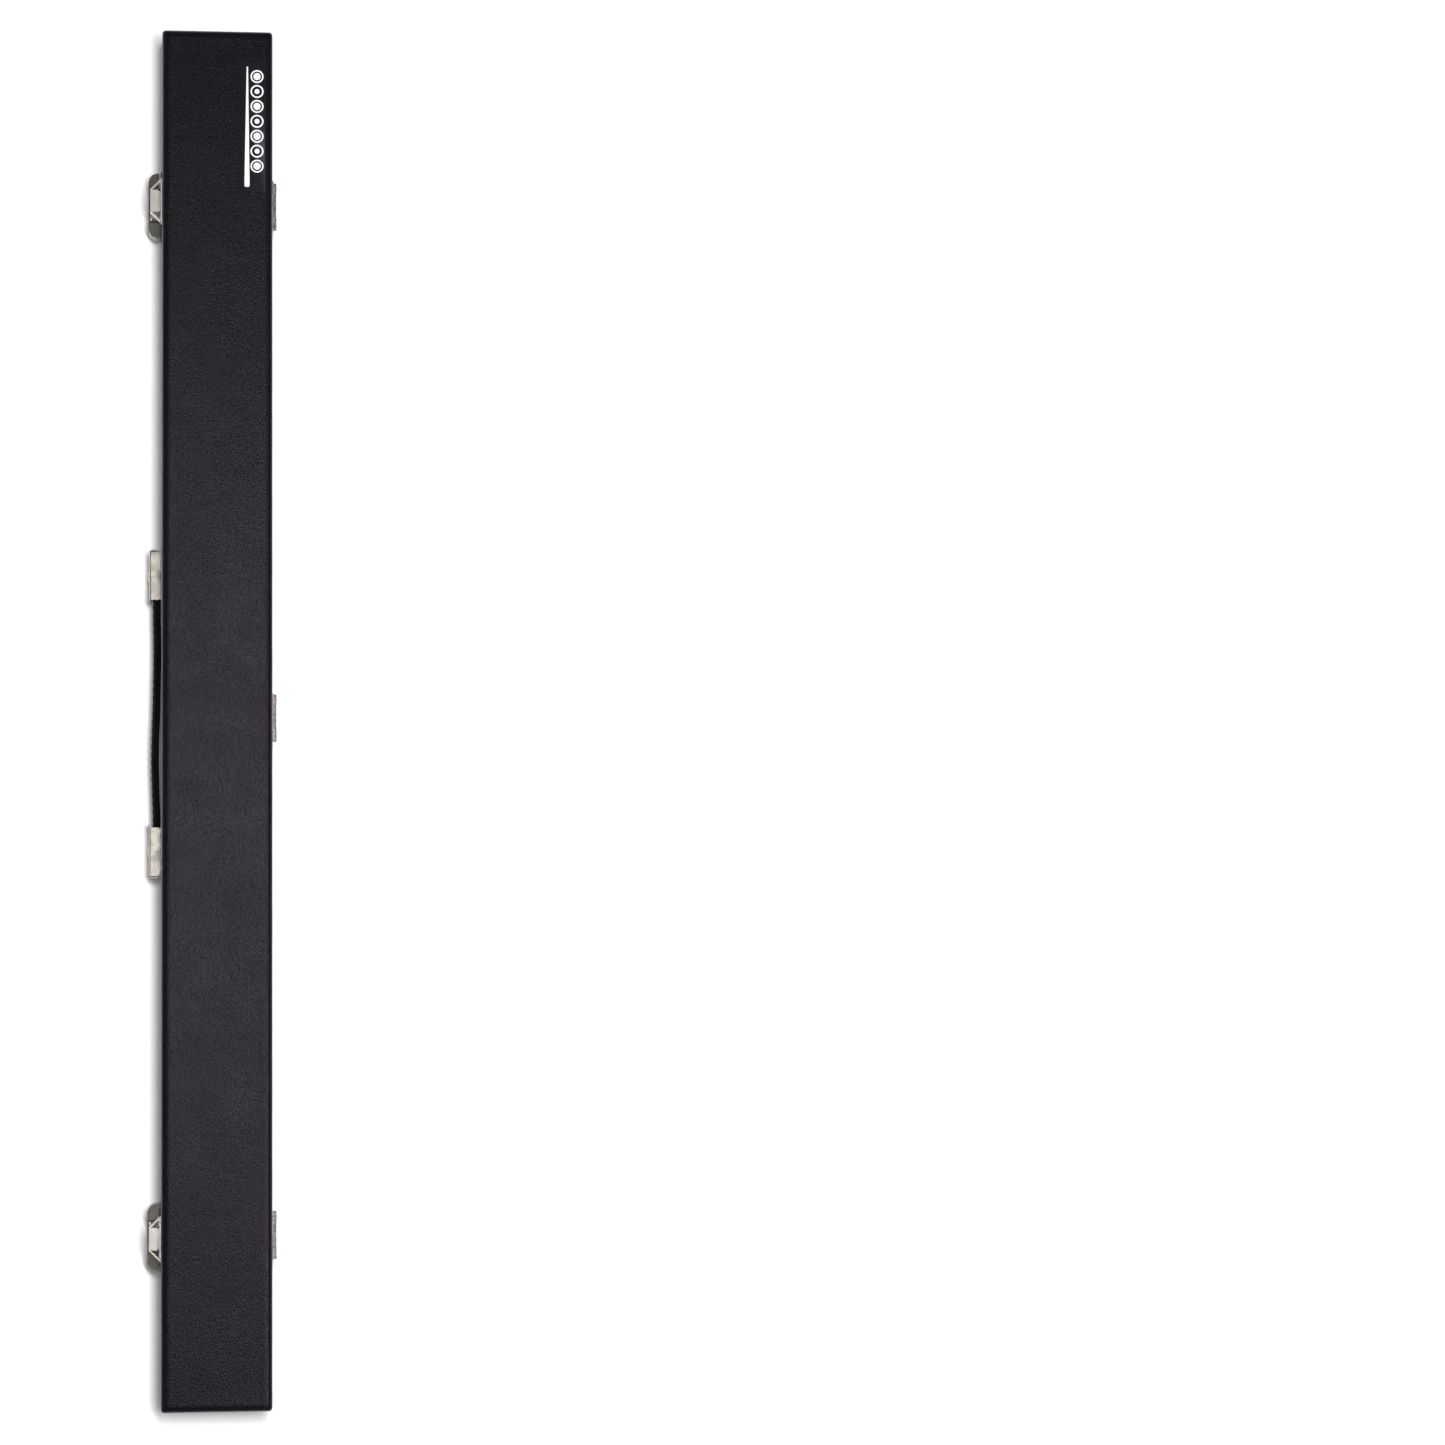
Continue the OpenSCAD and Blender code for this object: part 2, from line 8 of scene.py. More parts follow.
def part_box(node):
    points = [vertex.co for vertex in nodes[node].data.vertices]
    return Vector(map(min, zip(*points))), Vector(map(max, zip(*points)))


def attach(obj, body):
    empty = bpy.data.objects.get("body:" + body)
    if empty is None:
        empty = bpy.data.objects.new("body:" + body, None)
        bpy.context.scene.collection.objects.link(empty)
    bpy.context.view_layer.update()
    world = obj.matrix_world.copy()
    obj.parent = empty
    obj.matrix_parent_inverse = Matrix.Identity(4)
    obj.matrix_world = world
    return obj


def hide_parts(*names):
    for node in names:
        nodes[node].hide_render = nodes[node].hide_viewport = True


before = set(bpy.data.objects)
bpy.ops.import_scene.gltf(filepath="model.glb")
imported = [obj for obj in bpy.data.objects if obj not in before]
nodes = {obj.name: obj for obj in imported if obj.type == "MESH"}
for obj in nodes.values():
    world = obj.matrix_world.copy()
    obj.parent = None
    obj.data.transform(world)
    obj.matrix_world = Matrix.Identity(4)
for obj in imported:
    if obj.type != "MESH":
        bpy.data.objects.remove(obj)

MM = 0.001
scene = bpy.context.scene
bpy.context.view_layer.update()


# ---------- sizes in millimetres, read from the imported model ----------

def mm_box(node):
    low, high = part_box(node)
    return low / MM, high / MM


lid_lo, lid_hi = mm_box("lid_covering")
inside_hi = mm_box("base_lining")[1]
L = lid_hi.x - lid_lo.x
W = lid_hi.y - lid_lo.y
TOP = lid_hi.z
FRONT = lid_lo.y
BACK = lid_hi.y
LID_RIM = lid_lo.z
BASE_RIM = mm_box("base_covering")[1].z
SKIN = 0.6
INSIDE_L = inside_hi.x * 2
INSIDE_W = inside_hi.y * 2


# ---------- materials ----------

def add_node(tree, kind, inputs=None, **properties):
    """A shader node. inputs are values or sockets, by the input's name or number."""
    made = tree.nodes.new("ShaderNode" + kind)
    for key, value in properties.items():
        setattr(made, key, value)
    for key, value in (inputs or {}).items():
        if isinstance(value, bpy.types.NodeSocket):
            tree.links.new(value, made.inputs[key])
        else:
            made.inputs[key].default_value = value
    return made


class Look:
    """A procedural material: a Principled shader with textures in object coordinates, in millimetres."""

    def __init__(self, name, **values):
        self.material = bpy.data.materials.new(name)
        self.material.use_nodes = True
        self.tree = self.material.node_tree
        self.shader = self.tree.nodes["Principled BSDF"]
        for key, value in values.items():
            self.shader.inputs[key.replace("_", " ")].default_value = value
        self.place = self.node("TexCoord").outputs["Object"]

    def node(self, kind, inputs=None, **properties):
        return add_node(self.tree, kind, inputs, **properties)

    def stretched(self, x, y, z):
        scale = (x / MM, y / MM, z / MM)
        return self.node("Mapping", {"Vector": self.place, "Scale": scale}).outputs["Vector"]

    def noise(self, size, detail=2.0, roughness=0.5, stretch=(1, 1, 1)):
        """Noise with features about `size` millimetres across, from 0 to 1."""
        place = self.stretched(*(s / size for s in stretch))
        values = {"Vector": place, "Scale": 1.0, "Detail": detail, "Roughness": roughness}
        return self.node("TexNoise", values).outputs["Fac"]

    def cells(self, size, feature, warp, stretch=(1, 1, 1)):
        """Cells about `size` millimetres across, with their outlines shaken by warp."""
        place = self.stretched(*(s / size for s in stretch))
        shake = self.node("TexNoise", {"Vector": place, "Scale": 0.8, "Detail": 1.0}).outputs["Color"]
        shift = self.node("VectorMath", {0: shake, 3: warp}, operation="SCALE").outputs[0]
        place = self.node("VectorMath", {0: place, 1: shift}).outputs[0]
        return self.node("TexVoronoi", {"Vector": place, "Scale": 1.0}, feature=feature).outputs["Distance"]

    def math(self, operation, a, b=0.0, clamp=False):
        return self.node("Math", {0: a, 1: b}, operation=operation, use_clamp=clamp).outputs[0]

    def spread(self, value, low, high, to_low=0.0, to_high=1.0):
        """Maps low..high to to_low..to_high, held at the ends."""
        return self.node("MapRange", {"Value": value, "From Min": low, "From Max": high, "To Min": to_low,
                                      "To Max": to_high}).outputs["Result"]

    def mix(self, share, a, b):
        """Colour a where share is 0 and colour b where it is 1."""
        made = self.node("Mix", data_type="RGBA")
        sockets = [s for s in made.inputs if s.type == "RGBA"]
        for socket, value in zip([made.inputs[0], sockets[0], sockets[1]], [share, a, b]):
            if isinstance(value, bpy.types.NodeSocket):
                self.tree.links.new(value, socket)
            else:
                socket.default_value = value
        return [s for s in made.outputs if s.type == "RGBA"][0]

    def attribute(self, name):
        return self.node("Attribute", attribute_name=name).outputs["Fac"]

    def use(self, name, value):
        self.tree.links.new(value, self.shader.inputs[name])

    def bump(self, height, depth, strength=1.0):
        """Relief whose height of 1 stands `depth` millimetres proud."""
        made = self.node("Bump", {"Height": height, "Distance": depth * MM, "Strength": strength})
        self.use("Normal", made.outputs["Normal"])


def leatherette():
    look = Look("leatherette", Specular_IOR_Level=0.44, Specular_Tint=(0.95, 0.89, 1.0, 1))
    pebble = look.cells(0.85, "SMOOTH_F1", 0.9)
    crease = look.cells(2.3, "DISTANCE_TO_EDGE", 1.6, stretch=(0.6, 1.1, 1.0))
    crease = look.spread(crease, 0.0, 0.12)
    fine = look.noise(0.22, 2.0)
    patch = look.noise(60.0, 3.0)
    depth = look.spread(patch, 0.35, 0.65, 0.75, 1.0)
    height = look.math("ADD", look.math("MULTIPLY", pebble, depth), look.math("MULTIPLY", fine, 0.25))
    height = look.math("ADD", height, look.math("MULTIPLY", crease, look.math("MULTIPLY", depth, 0.28)))
    look.bump(height, 0.13, 0.9)
    tone = look.mix(look.spread(patch, 0.3, 0.7), (0.0016, 0.0009, 0.0030, 1), (0.0023, 0.0015, 0.0040, 1))
    between = look.math("MULTIPLY", look.spread(pebble, 0.1, 0.75), 0.35)
    tone = look.mix(between, tone, (0.0008, 0.0005, 0.0016, 1))
    rubbed = look.math("MULTIPLY", look.attribute("wear"), look.spread(look.noise(7.0, 4.0), 0.5, 0.8))
    tone = look.mix(look.math("MULTIPLY", rubbed, 0.30, clamp=True), tone, (0.022, 0.020, 0.024, 1))
    look.use("Base Color", tone)
    look.use("Roughness", look.spread(look.noise(24.0, 3.0), 0.3, 0.7, 0.27, 0.33))
    return look.material


def velvet():
    look = Look("velvet", Roughness=0.92, Sheen_Weight=0.8, Sheen_Roughness=0.35, Specular_IOR_Level=0.15,
                Sheen_Tint=(0.55, 0.55, 0.62, 1))
    pile = look.noise(0.35, 3.0, 0.7)
    brushed = look.noise(9.0, 4.0, 0.6, stretch=(0.5, 1.2, 1.0))
    look.bump(look.math("ADD", pile, look.math("MULTIPLY", brushed, 0.6)), 0.12, 0.6)
    tone = look.mix(look.spread(brushed, 0.3, 0.7), (0.0125, 0.0122, 0.0150, 1), (0.0200, 0.0196, 0.0235, 1))
    look.use("Base Color", tone)
    return look.material


def strap_leather(name, dark, light, rough):
    look = Look(name, Specular_IOR_Level=0.24)
    grain = look.cells(0.8, "SMOOTH_F1", 1.0)
    pull = look.noise(3.0, 3.0, stretch=(0.25, 1.0, 1.0))
    look.bump(look.math("ADD", grain, pull), 0.07, 0.7)
    look.use("Base Color", look.mix(look.spread(pull, 0.3, 0.7), dark, light))
    look.use("Roughness", look.spread(look.noise(9.0, 3.0), 0.3, 0.7, rough - 0.05, rough + 0.07))
    return look.material


def thread():
    look = Look("thread", Roughness=0.75, Sheen_Weight=0.2)
    twist = look.noise(0.22, 2.0, stretch=(1.0, 3.0, 3.0))
    look.bump(twist, 0.05, 0.8)
    look.use("Base Color", look.mix(twist, (0.003, 0.003, 0.003, 1), (0.008, 0.008, 0.008, 1)))
    return look.material


def nickel(name, tint, rough, wear, speck_size=0.9, speck_from=0.66, metal=1.0):
    """Plated sheet. wear is how dark its specks are, and speck_from sets how few of them there are."""
    look = Look(name, Metallic=metal)
    brushed = look.noise(0.16, 3.0, stretch=(0.06, 1.0, 1.0))
    cloud = look.noise(5.5, 4.0, 0.6)
    speck = look.spread(look.noise(speck_size, 2.0), speck_from, speck_from + 0.12)
    scratch = look.cells(3.4, "DISTANCE_TO_EDGE", 3.0, stretch=(0.5, 1.0, 1.4))
    scratch = look.spread(scratch, 0.0, 0.012, 1.0, 0.0)
    scratch = look.math("MULTIPLY", scratch, look.spread(look.noise(2.6, 2.0), 0.56, 0.66))
    dull = tuple(0.87 * c for c in tint[:3]) + (1,)
    worn = tuple(0.42 * c for c in tint[:3]) + (1,)
    tone = look.mix(look.spread(cloud, 0.35, 0.70), tint, dull)
    look.use("Base Color", look.mix(look.math("MULTIPLY", speck, wear, clamp=True), tone, worn))
    roughness = look.spread(cloud, 0.3, 0.7, rough - 0.04, rough + 0.08)
    look.use("Roughness", look.math("ADD", roughness, look.math("MULTIPLY", scratch, 0.15)))
    look.bump(look.math("SUBTRACT", look.math("MULTIPLY", brushed, 0.5), scratch), 0.012, 0.7)
    return look.material


def plywood():
    look = Look("plywood", Roughness=0.62)
    grain = look.noise(1.1, 4.0, 0.6, stretch=(0.05, 1.0, 1.0))
    layers = {"Vector": look.stretched(0.0, 0.02, 0.9), "Scale": 1.0, "Distortion": 1.2}
    ply = look.node("TexWave", layers, bands_direction="Z").outputs["Fac"]
    tone = look.mix(look.spread(grain, 0.3, 0.7), (0.42, 0.28, 0.16, 1), (0.62, 0.46, 0.29, 1))
    look.use("Base Color", look.mix(look.math("MULTIPLY", ply, 0.35), tone, (0.34, 0.21, 0.12, 1)))
    look.bump(grain, 0.08, 0.6)
    return look.material


def film():
    look = Look("sticker_film", Specular_IOR_Level=0.7, Specular_Tint=(0.97, 0.9, 1.0, 1), Coat_Weight=0.1,
                Coat_Roughness=0.3)
    ripple = look.noise(6.0, 2.0)
    look.bump(look.math("ADD", ripple, look.math("MULTIPLY", look.noise(0.5, 2.0), 0.2)), 0.03, 0.5)
    look.use("Base Color", look.mix(ripple, (0.0046, 0.0034, 0.0064, 1), (0.0060, 0.0046, 0.0080, 1)))
    look.use("Roughness", look.spread(look.noise(11.0, 3.0), 0.3, 0.7, 0.34, 0.42))
    return look.material


def print_white():
    look = Look("white_print", Roughness=0.5)
    ink = look.noise(0.5, 3.0)
    look.bump(ink, 0.01, 0.5)
    thin = look.spread(ink, 0.35, 0.7)
    look.use("Base Color", look.mix(thin, (0.88, 0.88, 0.87, 1), (0.74, 0.74, 0.74, 1)))
    return look.material


LEATHERETTE = leatherette()
VELVET = velvet()
STRAP_OUTER = strap_leather("strap_leather", (0.0020, 0.0018, 0.0018, 1), (0.0036, 0.0032, 0.0032, 1), 0.46)
STRAP_INNER = strap_leather("strap_lining", (0.0010, 0.0010, 0.0010, 1), (0.0020, 0.0019, 0.0019, 1), 0.62)
THREAD = thread()
NICKEL = nickel("nickel_sheet", (0.71, 0.665, 0.61, 1), 0.36, 0.35)
NICKEL_PITTED = nickel("nickel_pitted", (0.66, 0.60, 0.56, 1), 0.40, 0.9, 1.7, 0.50)
# A darker copy of the nickel: painted shade on the latch levers, for the dark inside of the latches
NICKEL_LEVER_PAINTED_SHADE = nickel("nickel_lever_painted_shade", (0.24, 0.22, 0.205, 1), 0.36, 0.6)
# A much darker copy of the nickel: painted shade on the latch base plates, for the deep shade in the gaps
# between the latch's parts
NICKEL_PAINTED_SHADE = nickel("nickel_painted_shade", (0.14, 0.127, 0.117, 1), 0.42, 0.5)
# A lighter copy of the nickel: painted highlight for the strikes and hasps, whose up-facing faces catch the
# light
NICKEL_PAINTED_HIGHLIGHT = nickel("nickel_painted_highlight", (0.79, 0.745, 0.695, 1), 0.36, 0.25, metal=0.8)
FASTENER = nickel("nickel_worn", (0.58, 0.54, 0.485, 1), 0.32, 0.6)
PLYWOOD = plywood()
FILM = film()
PRINT = print_white()


# ---------- building blocks ----------

def piece(name, verts, faces, body, slot, material, replaces, wear=None):
    """A mesh in millimetres that rides on a body and stands for the CAD nodes in replaces.
    wear is a function of a vertex, from 0 to 1."""
    mesh = bpy.data.meshes.new(name)
    mesh.from_pydata([Vector(v) * MM for v in verts], [], faces)
    work = bmesh.new()
    work.from_mesh(mesh)
    bmesh.ops.remove_doubles(work, verts=work.verts, dist=1e-7)
    bmesh.ops.dissolve_degenerate(work, edges=work.edges, dist=1e-8)
    bmesh.ops.recalc_face_normals(work, faces=work.faces)
    work.to_mesh(mesh)
    work.free()
    mesh.shade_smooth()
    mesh.materials.append(material)
    if wear:
        layer = mesh.attributes.new("wear", "FLOAT", "POINT")
        for v, item in zip(mesh.vertices, layer.data):
            item.value = wear(v.co / MM)
    made = bpy.data.objects.new(name, mesh)
    scene.collection.objects.link(made)
    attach(made, body)
    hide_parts(*replaces)
    return made


def loft(sections, caps=True):
    """Faces between closed sections with the same number of points."""
    n = len(sections[0])
    verts = [p for s in sections for p in s]
    faces = []
    for a in range(len(sections) - 1):
        for b in range(n):
            c = (b + 1) % n
            faces.append((a * n + b, a * n + c, (a + 1) * n + c, (a + 1) * n + b))
    if caps:
        faces.append(tuple(reversed(range(n))))
        faces.append(tuple(range((len(sections) - 1) * n, len(sections) * n)))
    return verts, faces


def joined(parts):
    """Several (verts, faces) as one."""
    verts, faces = [], []
    for v, f in parts:
        start = len(verts)
        verts += v
        faces += [tuple(i + start for i in face) for face in f]
    return verts, faces


def arc(cx, cy, r, a0, a1, n):
    """n + 1 points on an arc, angles in degrees."""
    steps = [math.radians(a0 + (a1 - a0) * i / n) for i in range(n + 1)]
    return [(cx + r * math.cos(a), cy + r * math.sin(a)) for a in steps]


def spaced(a, b, pitch):
    """Numbers from a to b, evenly spaced about pitch apart."""
    n = max(1, round((b - a) / pitch))
    return [a + (b - a) * i / n for i in range(n + 1)]


CORNER_STEPS = 5
GRID_INSET = 0.9


def wrapped(levels, xs, ys, grid_end=False, closed=False, cap_start=False):
    """Rings round the case, one for each level, joined one to the next.
    A level is (inset at the ends, inset at the front, inset at the back, z, corner radius).
    closed joins the last ring to the first, cap_start closes the first, and grid_end fills the last with
    a grid, so that its face can be uneven."""
    k = CORNER_STEPS
    rings = []
    for ix, i0, i1, z, r in levels:
        hx, y0, y1 = L / 2 - ix, FRONT + i0, BACK - i1
        ring = [(x, y0) for x in xs] + arc(hx - r, y0 + r, r, -90, 0, k)
        ring += [(hx, y) for y in ys] + arc(hx - r, y1 - r, r, 0, 90, k)
        ring += [(x, y1) for x in reversed(xs)] + arc(r - hx, y1 - r, r, 90, 180, k)
        ring += [(-hx, y) for y in reversed(ys)] + arc(r - hx, y0 + r, r, 180, 270, k)
        rings.append([(x, y, z) for x, y in ring])
    verts, faces = loft(rings, caps=False)
    n = len(rings[0])
    if closed:
        last = (len(rings) - 1) * n
        faces += [(last + b, last + (b + 1) % n, (b + 1) % n, b) for b in range(n)]
    if cap_start:
        faces.append(tuple(reversed(range(n))))
    if grid_end:
        ix, i0, i1, z, _ = levels[-1]
        start = len(verts)
        gx = [ix - L / 2 + GRID_INSET] + list(xs) + [L / 2 - ix - GRID_INSET]
        gy = [FRONT + i0 + GRID_INSET] + list(ys) + [BACK - i1 - GRID_INSET]
        verts += [(x, y, z) for x in gx for y in gy]
        nx, ny = len(gx), len(gy)

        def at(i, j):
            return start + i * ny + j

        rim = [at(i + 1, 0) for i in range(len(xs))] + [at(nx - 1, 0)] * (k + 1)
        rim += [at(nx - 1, j + 1) for j in range(len(ys))] + [at(nx - 1, ny - 1)] * (k + 1)
        rim += [at(i, ny - 1) for i in range(nx - 2, 0, -1)] + [at(0, ny - 1)] * (k + 1)
        rim += [at(0, j) for j in range(ny - 2, 0, -1)] + [at(0, 0)] * (k + 1)
        last = (len(rings) - 1) * n
        for b in range(n):
            c = (b + 1) % n
            face = [last + b, last + c, rim[c], rim[b]]
            if rim[b] == rim[c]:
                face.pop()
            faces.append(tuple(face))
        faces += [(at(i, j), at(i + 1, j), at(i + 1, j + 1), at(i, j + 1))
                  for i in range(nx - 1) for j in range(ny - 1)]
    return verts, faces


def wavy(p, size, seed):
    """Smooth noise from -1 to 1 with features about `size` millimetres across."""
    return noise.noise(Vector((p[0] / size + seed, p[1] / size, p[2] / size)))


def modifier(obj, kind, **values):
    made = obj.modifiers.new(kind.lower(), kind)
    for key, value in values.items():
        setattr(made, key, value)
    return made


def softened(obj, width):
    """Rounds a hard piece's edges by `width` millimetres, after joining the triangles of its flat faces."""
    modifier(obj, "WELD", merge_threshold=1e-6)
    modifier(obj, "DECIMATE", decimate_type="DISSOLVE", angle_limit=math.radians(1.0))
    modifier(obj, "BEVEL", width=width * MM, segments=2, limit_method="ANGLE",
             angle_limit=math.radians(32), use_clamp_overlap=True)
    modifier(obj, "WEIGHTED_NORMAL", keep_sharp=False, weight=60)
    obj.data.shade_smooth()


def dress(material, width, names):
    """Gives CAD nodes a material, and rounds their edges by `width` millimetres, unless it is 0."""
    for name in names:
        obj = nodes[name]
        obj.data.materials.clear()
        obj.data.materials.append(material)
        if width:
            softened(obj, width)


# ---------- coverings ----------

# The lid's rounded edge: its height, and how far in it reaches at the front, the back and the ends
EDGE_H = 3.2
FRONT_EDGE = 3.7
BACK_EDGE = 3.4
END_EDGE = 3.0
# The steep part of the edge turns through this many degrees and ends this far below the top
EDGE_TURN = 78
EDGE_DROP = 0.15
EDGE_STEPS = 11
# Then the shoulder: (further inset, drop from the top, corner radius)
SHOULDER = ((0.5, 0.08, 0.9), (1.1, 0.03, 0.8), (1.9, 0.0, 0.6))
# A turned-in rim, from inside out: (inset, height from the rim, corner radius)
RIM = ((4.6, 0.0, 0.3), (2.8, 0.0, 0.6), (1.1, 0.0, 1.0), (0.45, 0.07, 1.2), (0.12, 0.32, 1.35),
       (0.0, 0.8, 1.4))
WALL_STEP = 2.4
# The base skin's hem: its height above the floor, and the bend from the wall into it
HEM_Z = 0.22
HEM_R = 1.3
# At the ends the leatherette of the long walls laps over that of the end walls, from FOLD_Y outwards
FOLD_Y = 24.5
FOLD_STEP = 0.25
LAP = 0.22
# The waviness and the lap fade out over this height at the rims
FADE = 3
XS = spaced(-L / 2 + 7, L / 2 - 7, 3.6)
YS = sorted(spaced(-27, 27, 3.0) + [s * (FOLD_Y + d) for s in (-1, 1) for d in (-FOLD_STEP, FOLD_STEP)])


def edge_wear(p):
    """Up to 1 along the lid's edges, the upright corners and the foot of the walls, 0 on the flats."""
    x = max(0.0, 1 - (L / 2 - abs(p.x)) / 3.0)
    y = max(0.0, 1 - (W / 2 - abs(p.y)) / 3.0)
    top = max(0.0, 1 - (TOP - p.z) / 4.0)
    bottom = max(0.0, 1 - p.z / 2.0)
    return min(1.0, max(x * y * 1.6, top * max(x, y) * 1.4, bottom * 0.8))


def settle(verts, z_low, z_high, seed, top=False):
    """Gives a covering the slight waviness of glued leatherette, and laps its folds at the ends."""
    out = []
    for x, y, z in verts:
        fade = max(0.0, min(1.0, (z - z_low) / FADE, (z_high - z) / FADE))
        p = Vector((x, y, z))
        side_y = 1 if abs(y) > W / 2 - 4.2 and abs(x) < L / 2 - 6 else 0
        end_x = 1 if abs(x) > L / 2 - 3.5 else 0
        sway = 0.09 * wavy(p, 34, seed) + 0.04 * wavy(p, 9, seed + 5)
        y += math.copysign(sway * fade * side_y, y)
        x += math.copysign(sway * fade * end_x, x)
        if end_x:
            lap = max(0.0, min(1.0, (abs(y) - FOLD_Y) / FOLD_STEP))
            lap *= min(1.0, max(0.0, (TOP - EDGE_H - z) / FADE))
            x += math.copysign(LAP * lap * fade, x)
        if top and z > TOP - 0.4:
            inner = max(0.0, min(1.0, (W / 2 - abs(y) - 3) / 6, (L / 2 - abs(x) - 3) / 6))
            z += inner * (0.10 * wavy(p, 45, seed + 9) + 0.03 * wavy(p, 11, seed + 3) - 0.05)
        out.append((x, y, z))
    return out


def rounded_top():
    """The lid's top edge: steep at the wall, then a gentle shoulder up to the flat."""
    turn = math.radians(EDGE_TURN)
    levels = []
    for i in range(EDGE_STEPS + 1):
        a = math.radians(EDGE_TURN * i / EDGE_STEPS)
        inward, rise = (1 - math.cos(a)) / (1 - math.cos(turn)), math.sin(a) / math.sin(turn)
        z = TOP - EDGE_H + (EDGE_H - EDGE_DROP) * rise
        levels.append((END_EDGE * inward, FRONT_EDGE * inward, BACK_EDGE * inward, z, 2.2 - 1.2 * inward))
    for d, drop, r in SHOULDER:
        levels.append((END_EDGE + d, FRONT_EDGE + d, BACK_EDGE + d, TOP - drop, r))
    return levels


def even(inset, z, r):
    """A level with the same inset all round."""
    return (inset, inset, inset, z, r)


def turned_in(rim, side):
    """A covering's turned-in rim. side is 1 where the wall goes up from it, -1 where it goes down."""
    return [even(inset, rim + side * height, r) for inset, height, r in RIM]


def covering(name, verts, faces, body, node):
    """A skin of leatherette, thickened inwards."""
    made = piece(name, verts, faces, body, "leatherette", LEATHERETTE, [node], edge_wear)
    modifier(made, "SOLIDIFY", thickness=SKIN * MM, offset=-1)


lid_levels = turned_in(LID_RIM, 1)
lid_levels += [even(0.0, z, 1.4 + 0.8 * (z - LID_RIM) / 17)
               for z in spaced(LID_RIM + 2, TOP - EDGE_H - 1.2, WALL_STEP)]
lid_levels += rounded_top()
verts, faces = wrapped(lid_levels, XS, YS, grid_end=True)
covering("lid_cover", settle(verts, LID_RIM, TOP + 9, 3.0, top=True), faces, "lid", "lid_covering")

base_levels = turned_in(BASE_RIM, -1)
base_levels += [even(0.0, z, 1.4) for z in reversed(spaced(HEM_Z + WALL_STEP, BASE_RIM - 2, WALL_STEP))]
base_levels += [even(HEM_R * (1 - math.cos(a)), HEM_Z + HEM_R * (1 - math.sin(a)), 1.4)
                for a in (math.radians(d) for d in (0, 20, 40, 60, 75, 90))]
base_levels.append(even(3.0, HEM_Z, 1.2))
verts, faces = wrapped(base_levels, XS, YS)
covering("base_cover", settle(verts, HEM_Z, BASE_RIM, 11.0), faces, "base", "base_covering")

bottom_levels = [even(2.6, 0.55, 1.6), even(2.45, 0.35, 1.7), even(2.4, 0.12, 1.8), even(2.5, 0.03, 1.8),
                 even(2.75, 0.0, 1.7), even(4.2, 0.0, 1.2)]
verts, faces = wrapped(bottom_levels, XS, YS, grid_end=True, cap_start=True)
piece("bottom_sheet", verts, faces, "base", "leatherette", LEATHERETTE, ["bottom_covering"])


# ---------- inside ----------

LINING = 0.4
# Length and thickness of the part of a lining that is hidden behind the foam
TAIL, TAIL_T = 2.4, 0.08


def lining(name, node, body, tail_up):
    """A wall lining with a soft free edge. A thin tail runs on behind the foam, up or down."""
    low, high = mm_box(node)
    back = L / 2 - high.x
    behind, face = back + TAIL_T, back + LINING
    if tail_up:
        levels = [even(back, low.z, 0.6), even(back, high.z + TAIL, 0.6), even(behind, high.z + TAIL, 0.6),
                  even(behind, high.z, 0.6), even(face, high.z, 0.5), even(face, low.z + 0.4, 0.5),
                  even(face - 0.1, low.z, 0.5)]
    else:
        levels = [even(back, low.z, 0.6), even(back, high.z - 0.15, 0.6), even(back + 0.12, high.z, 0.6),
                  even(face - 0.08, high.z, 0.5), even(face + 0.05, high.z - 0.2, 0.5),
                  even(face, high.z - 0.8, 0.5), even(face, low.z, 0.5), even(behind, low.z, 0.6),
                  even(behind, low.z - TAIL, 0.6), even(back, low.z - TAIL, 0.6)]
    verts, faces = wrapped(levels, XS, spaced(-26, 26, 4), closed=True)
    piece(name, verts, faces, body, "velvet", VELVET, [node])


lining("base_wall_lining", "base_lining", "base", False)
lining("lid_wall_lining", "lid_lining", "lid", True)

# The channels in the foam: the rounding of their rims, their middles, and their radii at the cue's
# butt, at its joint and at its tip
FILLET = 0.7
BUTT_Y, SHAFT_Y = -10.5, 15.0
BUTT_R, JOINT_R, TIP_R = 16.0, 12.0, 6.5
# Where the channels and the pocket start and end along the case
CHANNEL_X = (-INSIDE_L / 2 + 6, -INSIDE_L / 2 + 756)
POCKET_X = (CHANNEL_X[1] + 8, CHANNEL_X[1] + 54)
POCKET_Y, POCKET_Z = 22.0, 6.8
POCKET_LIP, POCKET_BEND = 1, 2.5
RIM_Y = 1.2
insert_lo, insert_hi = mm_box("base_insert")
# The channels' axis lies just above the foam
AXIS_Z = insert_hi.z + 0.5


def channel_profile(y, r, top):
    """From the flat at the left of a channel, down round it, to the flat at its right."""
    drop = math.degrees(math.asin((AXIS_Z - top + FILLET) / r))
    edge = r * math.cos(math.radians(drop))
    left = arc(y - edge - FILLET, top - FILLET, FILLET, 90, 0, 4)
    around = arc(y, AXIS_Z, r, 180 + drop, 360 - drop, 18)[1:-1]
    right = arc(y + edge + FILLET, top - FILLET, FILLET, 180, 90, 4)
    return left + around + right


def resample(line, n):
    """n points spread along a polyline, with the ends kept."""
    steps = [0.0]
    for a, b in zip(line, line[1:]):
        steps.append(steps[-1] + math.dist(a, b))
    out, i = [], 0
    for k in range(n):
        t = steps[-1] * k / (n - 1)
        while i < len(steps) - 2 and steps[i + 1] < t:
            i += 1
        u = (t - steps[i]) / max(1e-9, steps[i + 1] - steps[i])
        out.append(tuple(p + (q - p) * min(1.0, u) for p, q in zip(line[i], line[i + 1])))
    return out


def pocket_profile(top):
    """From the flat at the left of the pocket, down through it, to the flat at its right."""
    side, lip, bend = POCKET_Y, POCKET_LIP, POCKET_BEND
    line = arc(-side - lip, top - lip, lip, 90, 0, 4)
    line += arc(bend - side, POCKET_Z + bend, bend, 180, 270, 4)
    line += arc(side - bend, POCKET_Z + bend, bend, 270, 360, 4)
    return line + arc(side + lip, top - lip, lip, 180, 90, 4)


